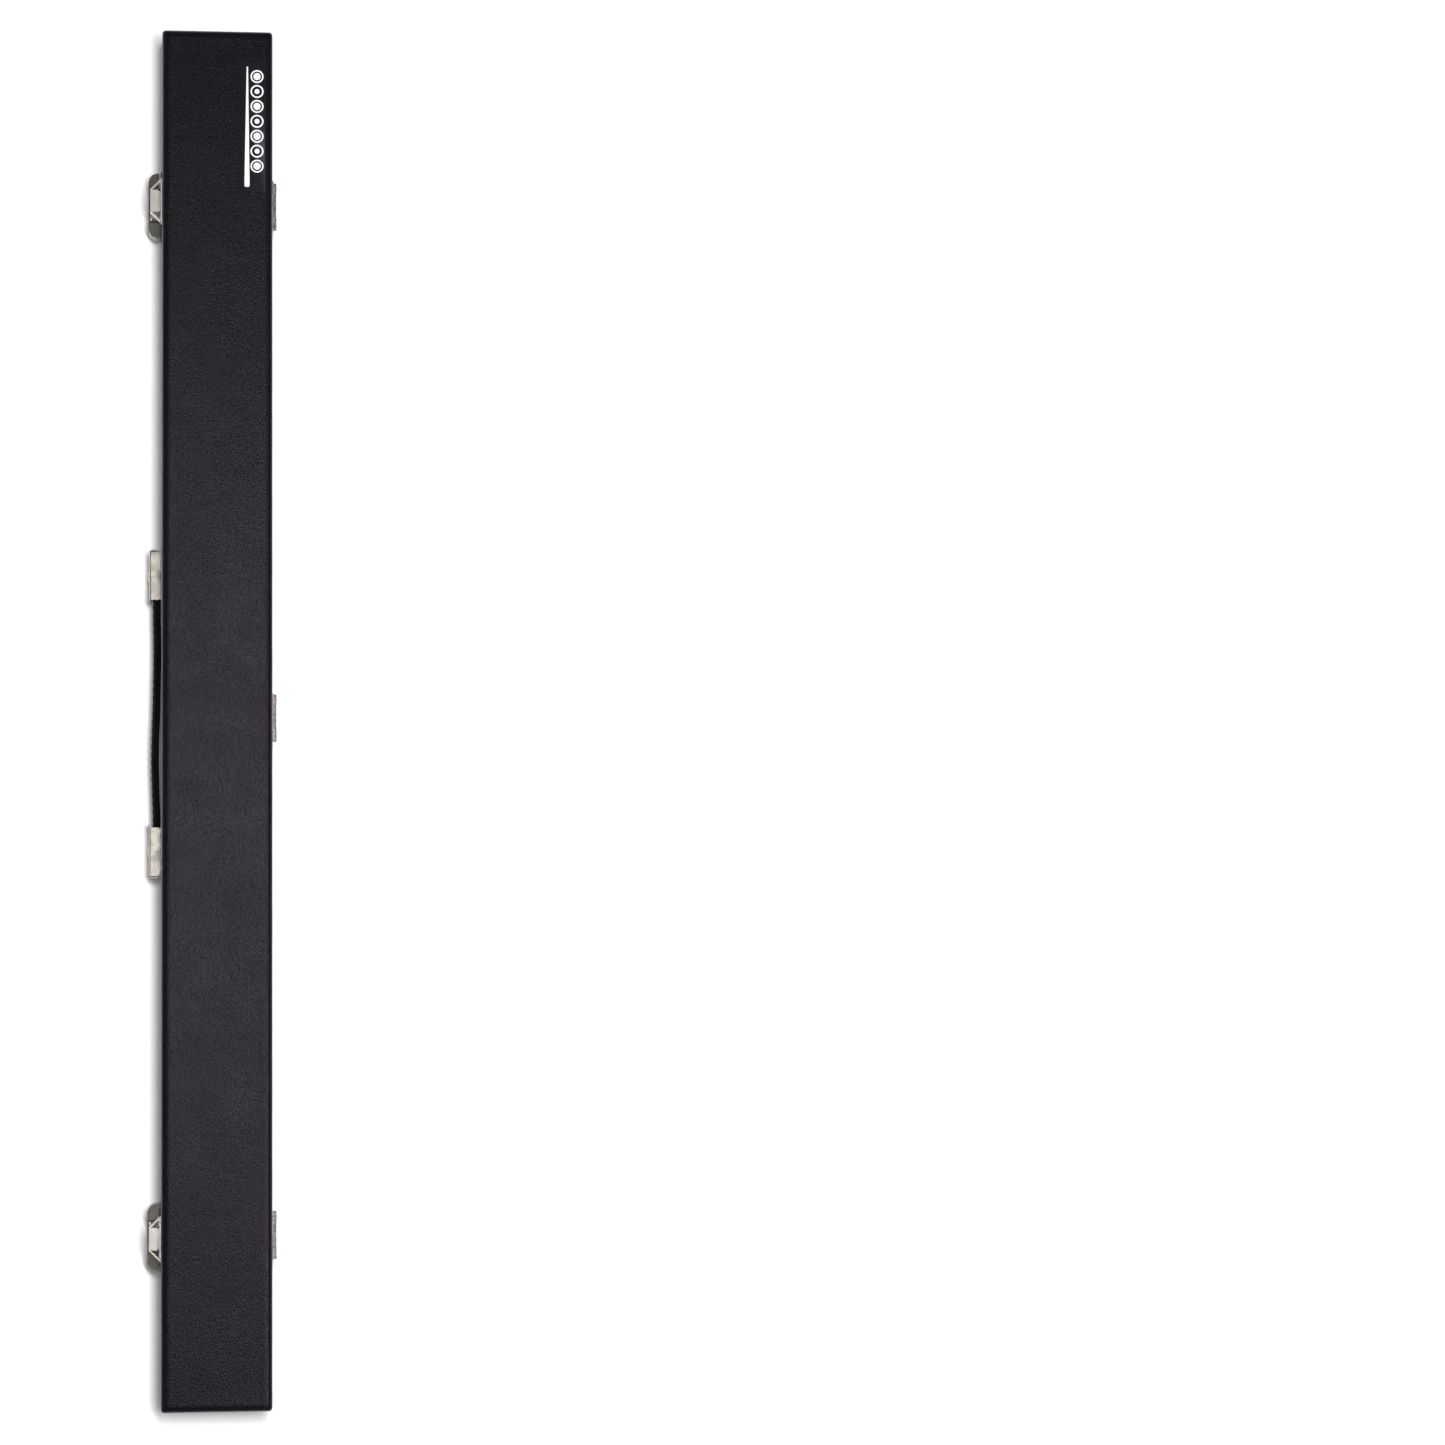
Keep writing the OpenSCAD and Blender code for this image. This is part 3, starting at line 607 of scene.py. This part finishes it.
def insert_section(x, depth, pocket=False):
    """The foam's outline across the case. depth runs from 0, flat, to 1, the full channel or pocket."""
    top, y0, y1 = insert_hi.z, insert_lo.y, insert_hi.y
    u = (x - CHANNEL_X[0]) / (CHANNEL_X[1] - CHANNEL_X[0])
    u = max(0.0, min(1.0, u))
    butt = channel_profile(BUTT_Y, BUTT_R + (JOINT_R - BUTT_R) * u, top)
    shaft = channel_profile(SHAFT_Y, TIP_R + (JOINT_R - TIP_R) * u, top)
    if pocket:
        hollow = [(y0 + RIM_Y, top)] + pocket_profile(top) + [(y1 - RIM_Y, top)]
        hollow = resample(hollow, len(butt) + len(shaft) + 3)
    else:
        start = y0 + RIM_Y if y0 + RIM_Y < butt[0][0] else butt[0][0] - 0.05
        land = (butt[-1][0] + shaft[0][0]) / 2
        end = max(y1 - RIM_Y, shaft[-1][0] + 0.05)
        hollow = [(start, top)] + butt + [(land, top)] + shaft + [(end, top)]
    line = []
    for y, z in hollow:
        z = top - (top - z) * depth
        line.append((y, z + 0.10 * wavy((x, y, z), 22, 4.0) * (1 if z > top - 0.2 else 0.4)))
    sides = [(y0, insert_lo.z), (y0, top - 1.1), (y0 + 0.25, top - 0.45), (y0 + 0.5, top - 0.12)]
    ends = [(y1 - 0.5, top - 0.12), (y1 - 0.25, top - 0.45), (y1, top - 1.1), (y1, insert_lo.z)]
    return [(x, y, z) for y, z in sides + line + ends]


# A channel's or pocket's end wall: (distance along the case, share of the full depth)
WALL = [(-0.9, 0.0), (-0.4, 0.02), (-0.12, 0.09), (0.02, 0.3), (0.12, 0.9), (0.2, 1.0)]
sections = [insert_section(insert_lo.x, 0), insert_section(insert_lo.x + 2, 0)]
sections += [insert_section(CHANNEL_X[0] + d, s) for d, s in WALL]
sections += [insert_section(x, 1) for x in spaced(CHANNEL_X[0] + 3, CHANNEL_X[1] - 3, 6)]
sections += [insert_section(CHANNEL_X[1] - d, s) for d, s in reversed(WALL)]
sections += [insert_section(POCKET_X[0] + d, s, True) for d, s in WALL]
sections += [insert_section(x, 1, True) for x in spaced(POCKET_X[0] + 2, POCKET_X[1] - 2, 4)]
sections += [insert_section(POCKET_X[1] - d, s, True) for d, s in reversed(WALL)]
sections += [insert_section(insert_hi.x - 2, 0, True), insert_section(insert_hi.x, 0, True)]
foam = piece("cue_insert", *loft(sections), "base", "velvet", VELVET, ["base_insert"])

pad_lo, pad_hi = mm_box("lid_pad")
pad_out = L / 2 - pad_hi.x
pad_levels = [even(pad_out, pad_hi.z, 0.6), even(pad_out - 0.1, pad_hi.z - 1.2, 0.6)]
for a in (math.radians(d) for d in (12, 30, 48, 66, 84)):
    c, s = math.cos(a), math.sin(a)
    pad_levels.append(even(pad_out + 1.9 * (1 - c), pad_hi.z - 1.3 - 1.75 * s, 0.6 + 0.4 * s))
pad_levels.append(even(pad_out + 3.5, pad_lo.z + 0.12, 0.9))
verts, faces = wrapped(pad_levels, XS, [y for y in YS if abs(y) < 24], grid_end=True, cap_start=True)


def crowned(verts, low):
    """Bellies a pad's open face a little and makes it uneven, as foam under cloth is."""
    out = []
    for x, y, z in verts:
        if z < low + 0.6:
            across = 1 - min(1.0, abs(y) / (INSIDE_W / 2)) ** 2.4
            z -= 0.10 * across + 0.09 * (0.5 + 0.5 * wavy((x, y, 0), 26, 6.0)) - 0.09
        out.append((x, y, max(z, low - 0.02)))
    return out


pad = piece("lid_cushion", crowned(verts, pad_lo.z), faces, "lid", "velvet", VELVET, ["lid_pad"])


# ---------- handle ----------

# CAP_OUT and CAP_GAP are how far a cap's outer plate and the back edges of its sides stand off the wall
HANDLE_X, HANDLE_L, HANDLE_Z = -3.0, 198.6, 14.0
CAP_L, CAP_H, CAP_OUT, CAP_T, CAP_GAP = 29.6, 18.0, 7.5, 0.6, 0.8
CAP_XS = [HANDLE_X - (HANDLE_L - CAP_L) / 2, HANDLE_X + (HANDLE_L - CAP_L) / 2]
INNER_T, OUTER_T = 2.4, 2.1
STRAP_EDGE = 0.55
# The outer layer has a shallow groove under each row of stitches
GROOVE_W, GROOVE_D = 0.55, 0.16
STITCH_PITCH, STITCH_ROW = 5.0, 5.8
STITCH_REACH, STITCH_RINGS, PLY = 1.95, 14, 0.24


def hump(x, a, b):
    """A smooth hump: 0 up to a, 1 midway, and 0 again from b."""
    return math.sin(math.pi * (x - a) / (b - a)) ** 2 if a < x < b else 0.0


def strap_off(x):
    """How far the strap's back stands off the wall."""
    x -= HANDLE_X
    return 0.7 - 0.4 * hump(x, -67, -9) + 0.95 * hump(x, -15, 69)


def strap_layer(name, node, v0, v1, material, grooved):
    """A long strip of leather from v0 to v1 off the strap's back, with rounded edges and a full face."""
    low, high = mm_box(node)
    half, r = (high.z - low.z) / 2, STRAP_EDGE
    puff = 0.10 * (1 if grooved else 0.6)
    sections = []
    for x in spaced(low.x, high.x, 1.6):
        off = strap_off(x)
        ripple = 0.05 * wavy((x, 0, 0), 14, 8.0)
        outline = arc(v0 + r, r - half, r, 180, 270, 4) + arc(v1 - r, r - half, r, 270, 360, 4)
        for i in range(1, 20):
            z = (half - r) * (2 * i / 20 - 1)
            dip = 0.0
            if grooved:
                dip = max(0.0, 1 - abs(abs(z) - STITCH_ROW) / GROOVE_W) * GROOVE_D
            outline.append((v1 + puff * (1 - (z / half) ** 2) - dip, z))
        outline += arc(v1 - r, half - r, r, 0, 90, 4) + arc(v0 + r, half - r, r, 90, 180, 4)
        sections.append([(x, FRONT - v - off - ripple, HANDLE_Z + z) for v, z in outline])
    piece(name, *loft(sections), "base", "strap", material, [node])


inner_face, outer_face = INNER_T - 0.04, INNER_T + OUTER_T - 0.05
strap_layer("strap_inner_layer", "handle_strap_inner", 0.0, inner_face, STRAP_INNER, False)
strap_layer("strap_outer_layer", "handle_strap_outer", INNER_T + 0.04, outer_face, STRAP_OUTER, True)


def stitch(x, z):
    """One stitch: a two-ply thread that comes up out of one hole and goes down the next."""
    sections = []
    for i in range(STITCH_RINGS + 1):
        t = 2 * i / STITCH_RINGS - 1
        u = x + STITCH_REACH * t
        lift = 0.30 * (1 - abs(t) ** 3.2) - 0.32
        y = FRONT - strap_off(u) - INNER_T - OUTER_T - lift
        swell = max(0.25, (1 - t ** 6)) ** 0.5
        ring = []
        for j in range(10):
            a = 2 * math.pi * j / 10
            r = PLY * swell * (1 + 0.24 * math.cos(2 * a - 5.5 * i * math.pi / STITCH_RINGS))
            ring.append((u, y - r * math.cos(a), z + 1.25 * r * math.sin(a)))
        sections.append(ring)
    return loft(sections)


span = HANDLE_L / 2 - CAP_L - 1
count = int(2 * span / STITCH_PITCH)
seams = [stitch(HANDLE_X + (i - (count - 1) / 2) * STITCH_PITCH, HANDLE_Z + s * STITCH_ROW)
         for i in range(count) for s in (-1, 1)]
piece("strap_stitches", *joined(seams), "base", "thread", THREAD, ["handle_stitching"])


# The cap's flared lip and the ends of its flap: (distance past the outer plate's end, step off a face)
LIP = ((0.5, 0.06), (1.0, 0.24), (1.45, 0.46), (1.85, 0.58), (2.15, 0.50), (2.3, 0.25))
FLAP_FROM_FACE = ((0.30, 0.06), (0.62, 0.30), (0.86, 0.75))
FLAP_TO_WALL = ((0.78, 0.45), (0.45, 0.12))
CAP_BEND = 1.0


def end_cap(name, node, x, side):
    """A folded sheet: two side walls, the outer plate with its flared lip, and the bowed end flap.
    side is 1 where the lip points along +X."""
    half, bend = CAP_L / 2, CAP_BEND
    z0, z1 = -CAP_H / 2, CAP_H / 2
    wall = spaced(CAP_GAP, CAP_OUT - bend, 1.4)[:-1]
    low_side = [(v, z0) for v in wall] + arc(CAP_OUT - bend, z0 + bend, bend, 270, 360, 5)[:-1]
    front = [(CAP_OUT, z) for z in spaced(z0 + bend, z1 - bend, 2.0)]
    high_side = arc(CAP_OUT - bend, z1 - bend, bend, 0, 90, 5)[1:] + [(v, z1) for v in reversed(wall)]
    section = low_side + front + high_side
    n = len(section)
    stations = spaced(-half, half, 2.1)
    verts, faces = [], []
    for u in stations:
        for v, z in section:
            corner = 0.5 if abs(u) == half and v == CAP_GAP else 0.0
            dent = 0.0
            if z == z1:
                dent = 0.32 * math.exp(-((u + 1.5) / 2.4) ** 2) * max(0.0, 1 - (v - CAP_GAP) / 2.2)
            dished = 0.02 * wavy((u, v, z), 7, x) if v < CAP_OUT - bend else 0.0
            verts.append((u - math.copysign(corner, u), v, z - dent + dished))
    for a in range(len(stations) - 1):
        faces += [(a * n + b, a * n + b + 1, (a + 1) * n + b + 1, (a + 1) * n + b) for b in range(n - 1)]

    def tongue(station, path, narrow):
        """Goes on from the outer plate along path, a list of (u, v); narrow takes that much off its ends."""
        row = [station * n + len(low_side) + i for i in range(len(front))]
        for k, (u, v) in enumerate(path):
            keep = 1 - narrow * min(1.0, (k + 1) / 2) / (z1 - bend)
            new = [len(verts) + i for i in range(len(front))]
            verts.extend((u, v, z * keep) for _, z in front)
            for i in range(len(front) - 1):
                if station:
                    faces.append((row[i], row[i + 1], new[i + 1], new[i]))
                else:
                    faces.append((row[i + 1], row[i], new[i], new[i + 1]))
            row = new

    tongue(len(stations) - 1, [(half + u, CAP_OUT + v) for u, v in LIP], 0.0)
    mid, r = (CAP_GAP + CAP_OUT) / 2, (CAP_OUT - CAP_GAP) / 2
    flap = [(-half - u, CAP_OUT - v) for u, v in FLAP_FROM_FACE]
    for a in (math.radians(d) for d in (66, 50, 34, 17, 0, -17, -34, -50, -66, -80)):
        flap.append((-half - 0.95 - 0.45 * math.cos(a), mid + (r - 0.8) * math.sin(a)))
    flap += [(-half - u, CAP_GAP + v) for u, v in FLAP_TO_WALL]
    tongue(0, flap, 0.5)
    placed = [(x + side * u, FRONT - v, HANDLE_Z + z) for u, v, z in verts]
    made = piece(name, placed, faces, "base", "nickel", NICKEL, [node])
    modifier(made, "SOLIDIFY", thickness=CAP_T * MM, offset=-1, use_even_offset=True)
    modifier(made, "BEVEL", width=0.10 * MM, segments=2, limit_method="ANGLE", angle_limit=math.radians(50))
    modifier(made, "WEIGHTED_NORMAL", keep_sharp=False, weight=50)


end_cap("left_end_cap", "handle_left_cap", CAP_XS[0], 1)
end_cap("right_end_cap", "handle_right_cap", CAP_XS[1], -1)


# ---------- fasteners ----------

HEAD_ANGLES = [2 * math.pi * j / 28 for j in range(28)]


def rivets(name, node, body, spots, out, head, shank, depth):
    """Domed rivets at spots, points on the surface under their heads. out is 1 or -1 along Y.
    head is a list of (radius, height) from the rim to the crown."""
    parts = []
    for x, y, z in spots:
        sections = []
        for r, h in [(0.0, -depth), (shank, -depth), (shank, 0.0)] + head:
            r = max(r, 0.001)
            sections.append([(x + r * math.cos(a), y + out * h, z + r * math.sin(a)) for a in HEAD_ANGLES])
        parts.append(loft(sections))
    piece(name, *joined(parts), body, "fasteners", FASTENER, [node])


def dome(r, h, rim=0.12):
    """A domed head of radius r and height h over a low rim."""
    line = [(r - 0.08, 0.0), (r, rim * 0.5), (r - 0.05, rim)]
    for a in (math.radians(d) for d in (20, 38, 55, 70, 80, 90)):
        line.append((r * math.cos(a), rim + (h - rim) * math.sin(a)))
    return line


SIDES = ("left", "right")
HINGES = ("left", "middle", "right")
plate_lo, plate_hi = mm_box("latch_left_base_plate")
LATCH_X = -(plate_lo.x + plate_hi.x) / 2
HINGE_XS = [sum(b.x for b in mm_box(f"hinge_{name}_pin")) / 2 for name in HINGES]
PLATE_T, LEAF_T, SEAM = 0.9, 0.8, 28.0
HINGE_RIVET_X, HINGE_RIVET_Z = 9, 6.4
# For each latch plate: its rivets' distance from the latch's middle, and their height
for name, node, body, u, z in (("latch_plate_rivets", "latch_base_rivets", "base", 15, 8.0),
                               ("strike_plate_rivets", "latch_strike_rivets", "lid", 10.2, 41.2)):
    spots = [(s * LATCH_X + t * u, FRONT - PLATE_T, z) for s in (-1, 1) for t in (-1, 1)]
    rivets(name, node, body, spots, -1, dome(2.0, 0.62), 1.0, 5.4)
for side, node, body in ((-1, "hinge_base_rivets", "base"), (1, "hinge_lid_rivets", "lid")):
    z = SEAM + side * HINGE_RIVET_Z
    spots = [(x + s * HINGE_RIVET_X, BACK + LEAF_T, z) for x in HINGE_XS for s in (-1, 1)]
    rivets(f"{body}_hinge_rivet_heads", node, body, spots, 1, dome(1.8, 0.46), 1.0, 5.3)
spots = [(x, FRONT - CAP_OUT, HANDLE_Z) for x in CAP_XS]
rivets("cap_rivets", "handle_rivets", "base", spots, -1, dome(3.0, 0.75, 0.15), 1.4, 11.5)

dress(NICKEL_PITTED, 0.14, [f"hinge_{s}_{b}_leaf" for b in ("base", "lid") for s in HINGES])
# The latch base plates get the darkest nickel, painted shade for the latch's gaps
dress(NICKEL_PAINTED_SHADE, 0.16, [f"latch_{s}_base_plate" for s in SIDES])
# The strikes and hasps get the lighter nickel with its painted highlight
dress(NICKEL_PAINTED_HIGHLIGHT, 0.14, [f"latch_{s}_strike" for s in SIDES])
# The levers get the darker nickel with its painted shade
dress(NICKEL_LEVER_PAINTED_SHADE, 0.2, [f"latch_{s}_lever" for s in SIDES])
dress(NICKEL_PAINTED_HIGHLIGHT, 0.16, [f"latch_{s}_hasp" for s in SIDES])
dress(NICKEL, 0.12, [f"handle_{s}_back_plate" for s in SIDES])
dress(FASTENER, 0.18, [f"latch_{s}_{p}_pins" for p in ("lever", "hasp") for s in SIDES])
dress(FASTENER, 0.12, [f"hinge_{s}_pin" for s in HINGES] + ["handle_washers"])
dress(PLYWOOD, 0, [f"{b}_{w}_board" for b in ("base", "lid") for w in ("front", "back", "left", "right")])
dress(PLYWOOD, 0, ["base_bottom_panel", "lid_top_panel"])


# ---------- sticker ----------

film_lo, film_hi = mm_box("sticker")
film_x, film_y = (film_lo.x + film_hi.x) / 2, (film_lo.y + film_hi.y) / 2
FILM_CORNER, FILM_SEAT = 1.3, 0.08
MARK_SIDES = 40
MARK_ANGLES = [2 * math.pi * j / MARK_SIDES for j in range(MARK_SIDES + 1)]


def rounded_rectangle(cx, cy, w, h, r):
    """The outline of a rectangle about a middle, with corners of radius r."""
    x0, x1 = cx - w / 2 + r, cx + w / 2 - r
    y0, y1 = cy - h / 2 + r, cy + h / 2 - r
    right = arc(x1, y0, r, -90, 0, 6) + arc(x1, y1, r, 0, 90, 6)
    return right + arc(x0, y1, r, 90, 180, 6) + arc(x0, y0, r, 180, 270, 6)


def slab(ring, z0, z1, shrink=0.03):
    """A thin flat shape whose upper edge is cut off slantwise by shrink."""
    cx, cy = sum(p[0] for p in ring) / len(ring), sum(p[1] for p in ring) / len(ring)

    def scaled(inset):
        out = []
        for x, y in ring:
            d = math.hypot(x - cx, y - cy) or 1.0
            out.append((x - inset * (x - cx) / d, y - inset * (y - cy) / d))
        return out

    levels = [(0.0, z0), (0.0, z1 - shrink), (shrink, z1)]
    return loft([[(x, y, z) for x, y in scaled(i)] for i, z in levels])


def ring_mark(cx, cy, r0, r1, z0, z1):
    """A flat ring."""
    sections = []
    for a in MARK_ANGLES:
        corners = ((r0, z0), (r1, z0), (r1, z1), (r0, z1))
        sections.append([(cx + r * math.cos(a), cy + r * math.sin(a), z) for r, z in corners])
    return loft(sections, caps=False)


def disc(cx, cy, r):
    """The outline of a round mark."""
    return arc(cx, cy, r, 0, 360, MARK_SIDES)[:-1]


film_edge = rounded_rectangle(film_x, film_y, film_hi.x - film_lo.x, film_hi.y - film_lo.y, FILM_CORNER)
verts, faces = slab(film_edge, TOP - FILM_SEAT, film_hi.z)
piece("sticker_film", verts, faces, "lid", "sticker_film", FILM, ["sticker"])

# The print: a cue's outline and a row of balls, in millimetres from the middle of the film
CUE = [(-37, -3.35), (36.2, -4.7), (37, -4.2), (37, -2.0), (36.2, -1.5), (-37, -2.45)]
BALL_XS = (-31.0, -21.8, -12.6, -3.4, 5.8, 15.0, 24.2)
BALL_Y = 3.0
ink_low, ink_top = film_hi.z - 0.01, mm_box("sticker_mark")[1].z
marks = [slab([(film_x + x, film_y + y) for x, y in CUE], ink_low, ink_top, 0.01)]
for i, x in enumerate(BALL_XS):
    marks.append(ring_mark(film_x + x, film_y + BALL_Y, 3.1, 4.0, ink_low, ink_top))
    marks.append(slab(disc(film_x + x, film_y + BALL_Y, 1.5 if i % 2 else 2.2), ink_low, ink_top, 0.01))
piece("sticker_print", *joined(marks), "lid", "white_print", PRINT, ["sticker_mark"])


# ---------- stage, light and camera ----------

FLOOR, FLOOR_Z = 9, -0.0003
floor_mesh = bpy.data.meshes.new("floor")
corners = [(x * FLOOR, y * FLOOR, FLOOR_Z) for x, y in ((-1, -1), (1, -1), (1, 1), (-1, 1))]
floor_mesh.from_pydata(corners, [], [(0, 1, 2, 3)])
floor = bpy.data.objects.new("floor", floor_mesh)
scene.collection.objects.link(floor)
pale = Look("floor", Roughness=0.9, Specular_IOR_Level=0.1)
pale.use("Base Color", pale.mix(pale.noise(400.0, 2.0), (0.90, 0.90, 0.90, 1), (0.93, 0.93, 0.93, 1)))
floor_mesh.materials.append(pale.material)


def area_light(name, place, aim, width, depth, power):
    """A white rectangular lamp at place that faces aim, in metres and watts."""
    light = bpy.data.lights.new(name, "AREA")
    light.shape = "RECTANGLE"
    light.size, light.size_y = width, depth
    light.energy = power
    made = bpy.data.objects.new(name, light)
    scene.collection.objects.link(made)
    made.location = place
    made.rotation_euler = (Vector(place) - Vector(aim)).to_track_quat("Z", "Y").to_euler()
    return made


# The key and the fill don't show in the case's shine. The softboxes do, on its metal and its edges.
key = area_light("key", (-0.15, 0.27, 2.80), (0.0, 0.0, 0.0), 1.0, 0.28, 86)
fill = area_light("fill", (0.0, -0.60, 2.80), (0.0, 0.0, 0.0), 1.4, 0.8, 8)
key.visible_glossy = fill.visible_glossy = False
area_light("overhead_softbox", (-0.02, 0.02, 2.82), (-0.02, 0.02, 0.0), 0.50, 0.8, 7.2)
area_light("side_softbox", (0.50, 1.10, 2.60), (0.3, 0.0, 0.0), 0.9, 0.45, 8)

# A weak white sky, strongest 30 degrees above the horizon. The camera itself sees it as plain white.
SKY_RISE, SKY_BASE = 0.42, 0.08
world = bpy.data.worlds.new("studio")
scene.world = world
world.use_nodes = True
tree = world.node_tree
place = add_node(tree, "TexCoord").outputs["Generated"]
height = add_node(tree, "SeparateXYZ", {0: place}).outputs["Z"]
rest = add_node(tree, "Math", {0: 1.0, 1: height}, operation="SUBTRACT").outputs[0]
band = add_node(tree, "Math", {0: height, 1: rest}, operation="MULTIPLY").outputs[0]
level = add_node(tree, "Math", {0: band, 1: SKY_RISE, 2: SKY_BASE}, operation="MULTIPLY_ADD", use_clamp=True)
seen = add_node(tree, "LightPath").outputs["Is Camera Ray"]
strength = add_node(tree, "Mix", {0: seen, 2: level.outputs[0], 3: 1.0}).outputs[0]
background = tree.nodes["Background"]
tree.links.new(strength, background.inputs["Strength"])
background.inputs["Color"].default_value = (1, 1, 1, 1)

# The camera looks down from 2.7 m, with -X up the picture, and is matched to the photograph
CAMERA_PLACE = Vector((0.132, -0.030, 2.748))
CAMERA_AIM = Vector((0.0033, 0.3091, 0.048))
CAMERA_ROLL = -0.0048
camera = bpy.data.objects.new("camera", bpy.data.cameras.new("camera"))
scene.collection.objects.link(camera)
camera.data.sensor_width = 36
camera.data.lens = 110.25
back = (CAMERA_PLACE - CAMERA_AIM).normalized()
right = Vector((-1, 0, 0)).cross(back).normalized()
up = back.cross(right)
basis = Matrix((right, up, back)).transposed() @ Matrix.Rotation(CAMERA_ROLL, 3, "Z")
camera.matrix_world = Matrix.Translation(CAMERA_PLACE) @ basis.to_4x4()
scene.camera = camera
scene.view_settings.view_transform = "Standard"
